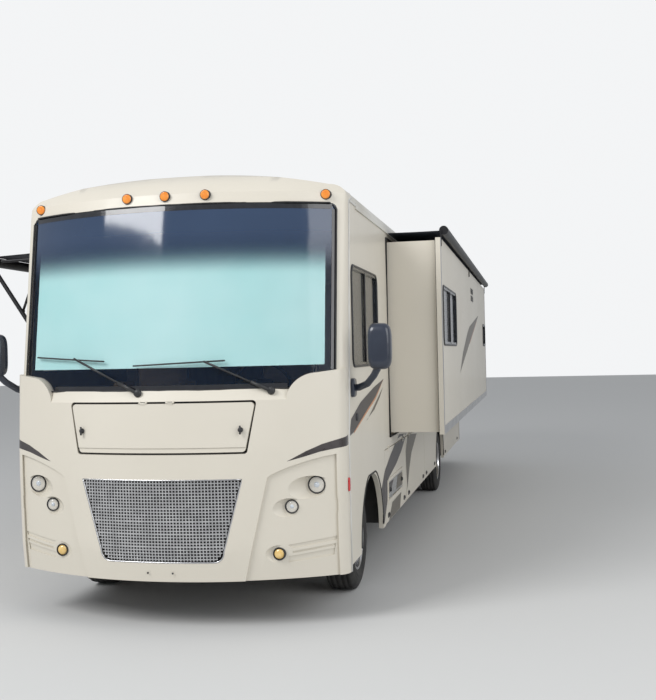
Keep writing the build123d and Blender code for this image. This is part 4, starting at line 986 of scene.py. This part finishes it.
taupe = blotched("taupe_vinyl", (0.115, 0.1, 0.078), (0.15, 0.132, 0.105), 14, 0.45, 0.0, 0.03, 300, 0.08)
umber = blotched("umber_vinyl", (0.045, 0.04, 0.042), (0.07, 0.062, 0.062), 14, 0.45, 0.0, 0.03, 300, 0.08)
orange_line = blotched("orange_vinyl", (0.5, 0.16, 0.04), (0.6, 0.22, 0.06), 14, 0.3, 0.0, 0.03, 300, 0.4)
band_dark = [(2665, 1118), (2047, 979), (1674, 871), (1467, 736), (1528, 416), (1605, 431), (1800, 592)]
band_dark += [(1828, 772), (2411, 856), (2795, 940), (3219, 1080)]
band_taupe = [(3321, 1063), (3134, 892), (3156, 732), (3197, 503), (3417, 715), (3607, 844), (4108, 1006)]
belly_taupe = [(2725, 543), (2099, 536), (1872, 403), (2606, 403)]
swoosh_brown = [(1732, 1691), (1157, 1633), (519, 1543), (113, 1442), (24, 1321), (213, 1339), (763, 1457)]
swoosh_brown.append((1243, 1552))
swoosh_line = [(1732, 1691), (1243, 1552), (763, 1457), (213, 1339), (213, 1328), (768, 1440), (1262, 1534)]
swoosh_taupe = [(1689, 1622), (843, 1392), (753, 1384), (1178, 1447), (1495, 1540)]
first_lid, second_lid = (1700, 3120, 402, 1048), (3140, 4830, 402, 1048)
for name, edge, tint, node, body, only in (
    ("graphic_low_front", band_dark, umber, "wall_left", "coach", (1467, 1688, 400, 1120)),
    ("graphic_low_first", band_dark, umber, "bay_door_left_1", "bay_left_1", first_lid),
    ("graphic_belly", belly_taupe, taupe, "bay_door_left_1", "bay_left_1", first_lid),
    ("graphic_taupe_second", band_taupe, taupe, "bay_door_left_2", "bay_left_2", second_lid),
    ("graphic_low_top", band_dark, umber, "wall_left", "coach", (1700, 3300, 1053, 1120)),
):
    film(name, edge, node, "left", tint, body, only=only)
film("graphic_swoosh", swoosh_brown, "wall_left", "left", umber)
film("graphic_orange", swoosh_line, "wall_left", "left", orange_line, lift=1.6)
film("graphic_swoosh_low", swoosh_taupe, "wall_left", "left", taupe)
dress(bright, "utility_hatch")
knob = [(0, 22), (6, 22), (9, 18), (16, 16), (18, 0.5)]
knobs = [lathe(knob, spot(1278, y, 673), side_way, 28) for y in (1960, 2730)]
made("hatch_knobs", knobs, black_plastic, "hatch")
for name, edge, tint in (
    ("hatch_graphic", [(2480, 737), (2370, 617), (2790, 612), (2796, 736)], taupe),
    ("hatch_graphic_dark", [(1892, 736), (1892, 640), (2036, 663), (2200, 737)], umber),
):
    film(name, edge, "utility_hatch", "left", tint, "hatch", cell=60)
rows = [(x, 358, 1441, 52 * s, 30 * s) for x, s in ((1274, 1), (1280, 1), (1285, 0.85), (1287, 0.4))]
made("side_camera", [stack_of(rows, rear_way, up_way, 32, 2.4)], black_plastic)
latch_rows = ((-0.5, 1), (3, 1), (5, 0.92), (5, 0.8), (3, 0.78))
latch_key = [(0, 9), (5, 9), (6, 7), (6, 0.5)]
for word, number, y0, y1 in (
    ("left", 1, 1700, 3120),
    ("left", 2, 3140, 4830),
    ("left", 3, 4850, 6180),
    ("left", 4, 7420, 9980),
    ("right", 1, 3060, 4600),
    ("right", 2, 4620, 6180),
    ("right", 3, 7420, 9980),
):
    side, shapes = 1 if word == "left" else -1, []
    for y in (y0 + 170, y1 - 170):
        rows = [(side * (body_half + out), y, 455, 55 * s, 22 * s) for out, s in latch_rows]
        shapes.append(stack_of(rows, rear_way, up_way, 28, 4))
        shapes.append(lathe(latch_key, spot(side * 1279, y + 30, 455), (side, 0, 0), 16))
    made(f"bay_latches_{word}_{number}", shapes, black_plastic, f"bay_{word}_{number}")
handle = spots((-1278, 2560, 1230), (-1306, 2560, 1240), (-1308, 2560, 1380), (-1278, 2560, 1392))
plate = stack_of([(x, 2560, 1310, 50, 100) for x in (-1274.5, -1281)], rear_way, up_way, 28, 4)
made("entry_handle", [tube(handle, 0.011, 10), plate], black_plastic, "entry")
made("entry_window_frame", [window_frame(-trim_x, 2060, 2520, 1850, 2500, 60)], window_black, "entry")
rail = spots((-1279, 1800, 1150), (-1340, 1800, 1170), (-1340, 1800, 1680), (-1279, 1800, 1700))
made("entry_grab_rail", [tube(rail, 0.014, 12)], bright)

# Slide-out: an ivory laminated box under a flanged outer wall, sealed by black rubber bulbs.
# It rides on cable pulleys in the wall's frame, and the topper cloth rolls out over its roof.
silver_rail = blotched("silver_rail", (0.6, 0.6, 0.6), (0.5, 0.5, 0.51), 5, 0.32, 1.0, 0.05, 500)
awning_metal = blotched("awning_metal", (0.014, 0.014, 0.016), (0.028, 0.028, 0.03), 8, 0.4, 0.5, 0.1, 400)
topper_cloth = blotched("topper_cloth", (0.04, 0.05, 0.075), (0.055, 0.066, 0.095), 3, 0.8, 0.0, 0.5, 700)
dress(ivory, "slide_box", "slide_face")
dress(awning_metal, "awning_brackets", "awning_arms", "awning_rafters", "awning_struts")
dress(awning_metal, "awning_roller", "topper_roller")
for name, x, y0, y1, z0, z1, radius, body in (
    ("slide_wall_seal", 1283, 2020, 9920, 1150, 2978, 0.009, "coach"),
    ("slide_face_seal", 1731, 2066, 9874, 1176, 2953, 0.0035, "slide_room"),
):
    route = spots((x, y0, z0), (x, y0, z1), (x, y1, z1), (x, y1, z0))
    made(name, [tube(route, radius, closed=True)], edge_rubber, body)
frames = [window_frame(1781, 2150, 3670, 1980, 2540), window_frame(1781, 9150, 9800, 2000, 2350)]
frames.append(tube(spots((1779, 2910, 1990), (1779, 2910, 2530)), 0.009))
made("slide_window_frames", frames, window_black, "slide_room")
face_x, bar_x, low, high = 1780.4, 1786, 1167, 1245
rings = [spots((face_x, y, low), (bar_x, y, low), (bar_x, y, high), (face_x, y, high)) for y in (2037, 9903)]
bars = [skin_of(rings)]
for y0, y1 in ((2036, 2062), (9878, 9904)):
    rings = [spots((face_x, y0, z), (bar_x, y0, z), (bar_x, y1, z), (face_x, y1, z)) for z in (1246, 2962)]
    bars.append(skin_of(rings))
made("slide_edge_bars", bars, silver_rail, "slide_room", smooth=False)
louvres = []
for first_y in (6300, 6540):
    for first_z in (2590, 2686):
        for z in range(first_z, first_z + 78, 13):
            slat = ((1780.5, z), (1787, z + 2), (1787, z + 5), (1780.5, z + 10))
            ends = (first_y, first_y + 220)
            louvres.append(skin_of([[spot(x, y, high) for x, high in slat] for y in ends]))
made("slide_louvres", louvres, window_black, "slide_room", smooth=False)
swoosh = [(7989, 2451), (5907, 2237), (5521, 2159), (4624, 1906), (4116, 1680), (4912, 1839), (5828, 2021)]
swoosh.append((6895, 2234))
film("graphic_slide", swoosh, "slide_face", "left", taupe, "slide_room", cell=120)
line = [(7989, 2451), (6895, 2234), (5828, 2021), (5828, 2006), (6910, 2216)]
film("graphic_slide_line", line, "slide_face", "left", orange_line, "slide_room", lift=1.8, cell=120)
rows = []
for r, x in enumerate(sweep(1287.5, 1769, 12)):
    sags = [2.0 * math.sin(math.pi * r / 12) * (1 + 0.3 * math.sin(k / 2.1)) for k in range(121)]
    rows.append([spot(x, 2081 + 7778 * k / 120, 3031 - sag) for k, sag in enumerate(sags)])
topper = made("topper_sheet", [skin_of(rows, rings=False)], topper_cloth)
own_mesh(topper)
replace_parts(topper, "topper_fabric")

# Patio awning: dark acrylic cloth between the wall's rail and a roller on black arms.
# Its hem is threaded in both rails; the rafters and struts fold against the wall with it.
awning_cloth = blotched("awning_cloth", (0.03, 0.033, 0.045), (0.045, 0.048, 0.06), 3, 0.85, 0.0, 0.5, 800)
rows = []
for r, (x, z) in enumerate(zip(sweep(-1276, -2421, 24), sweep(2975, 2917, 24))):
    sags = [1.2 * math.sin(math.pi * r / 24) * (1 + 0.4 * math.sin(k / 3)) for k in range(91)]
    rows.append([spot(x, 1541 + 5418 * k / 90, z - sag) for k, sag in enumerate(sags)])
awning = made("awning_sheet", [skin_of(rows, rings=False)], awning_cloth, None)
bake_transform(awning)
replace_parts(awning, "awning_fabric")

# Roof and rear: white rubber membrane, moulded air-conditioner covers, vents, ladder and bright trim.
# The covers are rounded mouldings screwed over the units, with louvred sides and a seal under them.
roof_rubber = blotched("roof_rubber", (0.66, 0.65, 0.61), (0.54, 0.52, 0.47), 1.5, 0.75, 0.0, 0.3, 200)
cover_white = blotched("cover_white", (0.7, 0.7, 0.67), (0.6, 0.59, 0.55), 3, 0.45, 0.0, 0.1, 300)
smoke_dome = blotched("smoke_dome", (0.16, 0.16, 0.17), (0.22, 0.22, 0.23), 5, 0.2, 0.0, 0.05, 200, 0.4)
dress(roof_rubber, "roof")
dress(silver_rail, "rear_ladder")
# Columns: height, half width, half length, how far the ring's middle lies to the rear
cover_rows = ((3272, 340, 490, 0), (3300, 348, 498, 0), (3420, 345, 494, 4), (3540, 330, 474, 18))
cover_rows += ((3595, 300, 436, 40), (3615, 250, 380, 60), (3619, 120, 220, 0))
covers, slits, vents = [], [], []
for middle in (4200, 8500):
    rows = [(0, middle + shift, z, a, b) for z, a, b, shift in cover_rows]
    covers.append(stack_of(rows, side_way, rear_way, 64, 5))
    for side in (1, -1):
        for y in range(middle - 330, middle - 60, 30):
            slits.append(tube(spots((side * 345, y, 3330), (side * 343, y, 3430)), 0.006, 6))
for x, y in ((0, 2400), (0, 5600), (500, 9300)):
    base = roof_high(x) - 2
    dome_rows = ((base - 8, 200), (base + 30, 200), (base + 62, 196), (base + 92, 170), (3398, 110))
    vents.append(stack_of([(x, y, z, r, r) for z, r in dome_rows], side_way, rear_way, 40, 6))
roof_covers = eased(made("roof_covers", covers, cover_white), 40)
made("cover_louvres", slits, window_black)
eased(made("vent_domes", vents, smoke_dome), 40)
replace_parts(roof_covers, "roof_units")
gutters = [tube([spot(x, y, 3058) for y in (230, 3000, 6000, 10250)], 0.008) for x in (1279, -1279)]
made("gutter_rails", gutters, seam_white)
rear_line = ((trim_x, 400), (trim_x, 3058), (1150, 3181), (0, 3293))
rear_line += tuple((-x, z) for x, z in reversed(rear_line[:3]))
made("rear_seam_strip", [tube([spot(x, 10272, z) for x, z in rear_line], 0.0065)], seam_white)
arches, arch_radius, arch_top = [], 555, 936
for side in (1, -1):
    for axle_y in (front_axle, rear_axle):
        route = []
        for turn in sweep(math.radians(-88), math.radians(88), 40):
            high = min(hub_high + arch_radius * math.cos(turn), arch_top)
            route.append(spot(side * 1276, axle_y + arch_radius * math.sin(turn), high))
        arches.append(tube(route, 0.007))
made("arch_lips", arches, edge_rubber)

# The plain pale floor and backdrop, the soft studio light and the camera.
pale_floor = bpy.data.materials.new("pale_floor")
pale_floor.use_nodes = True
floor_shader = pale_floor.node_tree.nodes["Principled BSDF"]
floor_shader.inputs["Base Color"].default_value = (0.62, 0.62, 0.61, 1)
floor_shader.inputs["Roughness"].default_value = 0.9
floor_mesh = bpy.data.meshes.new("studio_floor")
reach = 60
corners = [(-reach, -reach, 0), (reach, -reach, 0), (reach, reach, 0), (-reach, reach, 0)]
floor_mesh.from_pydata(corners, [], [(0, 1, 2, 3)])
floor_mesh.materials.append(pale_floor)
studio_floor = linked("studio_floor", floor_mesh)

world = bpy.data.worlds.new("studio")
bpy.context.scene.world = world
world.use_nodes = True
parts, links = links_of(world)
# The light the world gives is softer than the pale ground that the camera sees.
sky = parts["Background"]
sky.inputs["Color"].default_value = (0.93, 0.96, 1.0, 1)
sky.inputs["Strength"].default_value = 0.55
seen = added(parts, "Background", Color=(0.9, 0.91, 0.92, 1), Strength=1.0)
pick, rays = added(parts, "MixShader"), added(parts, "LightPath")
links.new(rays.outputs["Is Camera Ray"], pick.inputs["Fac"])
links.new(sky.outputs["Background"], pick.inputs[1])
links.new(seen.outputs["Background"], pick.inputs[2])
links.new(pick.outputs["Shader"], parts["World Output"].inputs["Surface"])

for name, place, aim, size, power in (
    ("key_light", (-7, -14, 11), (0, -3, 1.5), 7, 1500),
    ("fill_light", (10, -9, 6), (0, 0, 1.5), 8, 500),
):
    light = bpy.data.lights.new(name, "AREA")
    light.size = size
    light.energy = power
    stand = linked(name, light)
    stand.location = place
    stand.rotation_euler = (Vector(aim) - Vector(place)).to_track_quat("-Z", "Y").to_euler()

# Where the camera stood: its place and its three turns in the row frame.
camera_place = Vector((2.91773, -12.01162, 1.92))
yaw, pitch, roll = (math.radians(angle) for angle in (11.8118, 0.2494, -1.3158))
ahead = Vector((-math.sin(yaw) * math.cos(pitch), math.cos(yaw) * math.cos(pitch), math.sin(pitch)))
level = Vector((math.cos(yaw), math.sin(yaw), 0))
upright = level.cross(ahead)
across = math.cos(roll) * level + math.sin(roll) * upright
above = -math.sin(roll) * level + math.cos(roll) * upright
eye = bpy.data.cameras.new("camera")
eye.sensor_width = 36
eye.lens = 991.295 / 700 * 36
eye.clip_end = 200
camera = linked("camera", eye)
turned = Matrix((across, above, -ahead)).transposed()
camera.matrix_world = Matrix.Translation(camera_place) @ turned.to_4x4()
bpy.context.scene.camera = camera
bpy.context.scene.view_settings.view_transform = "Standard"
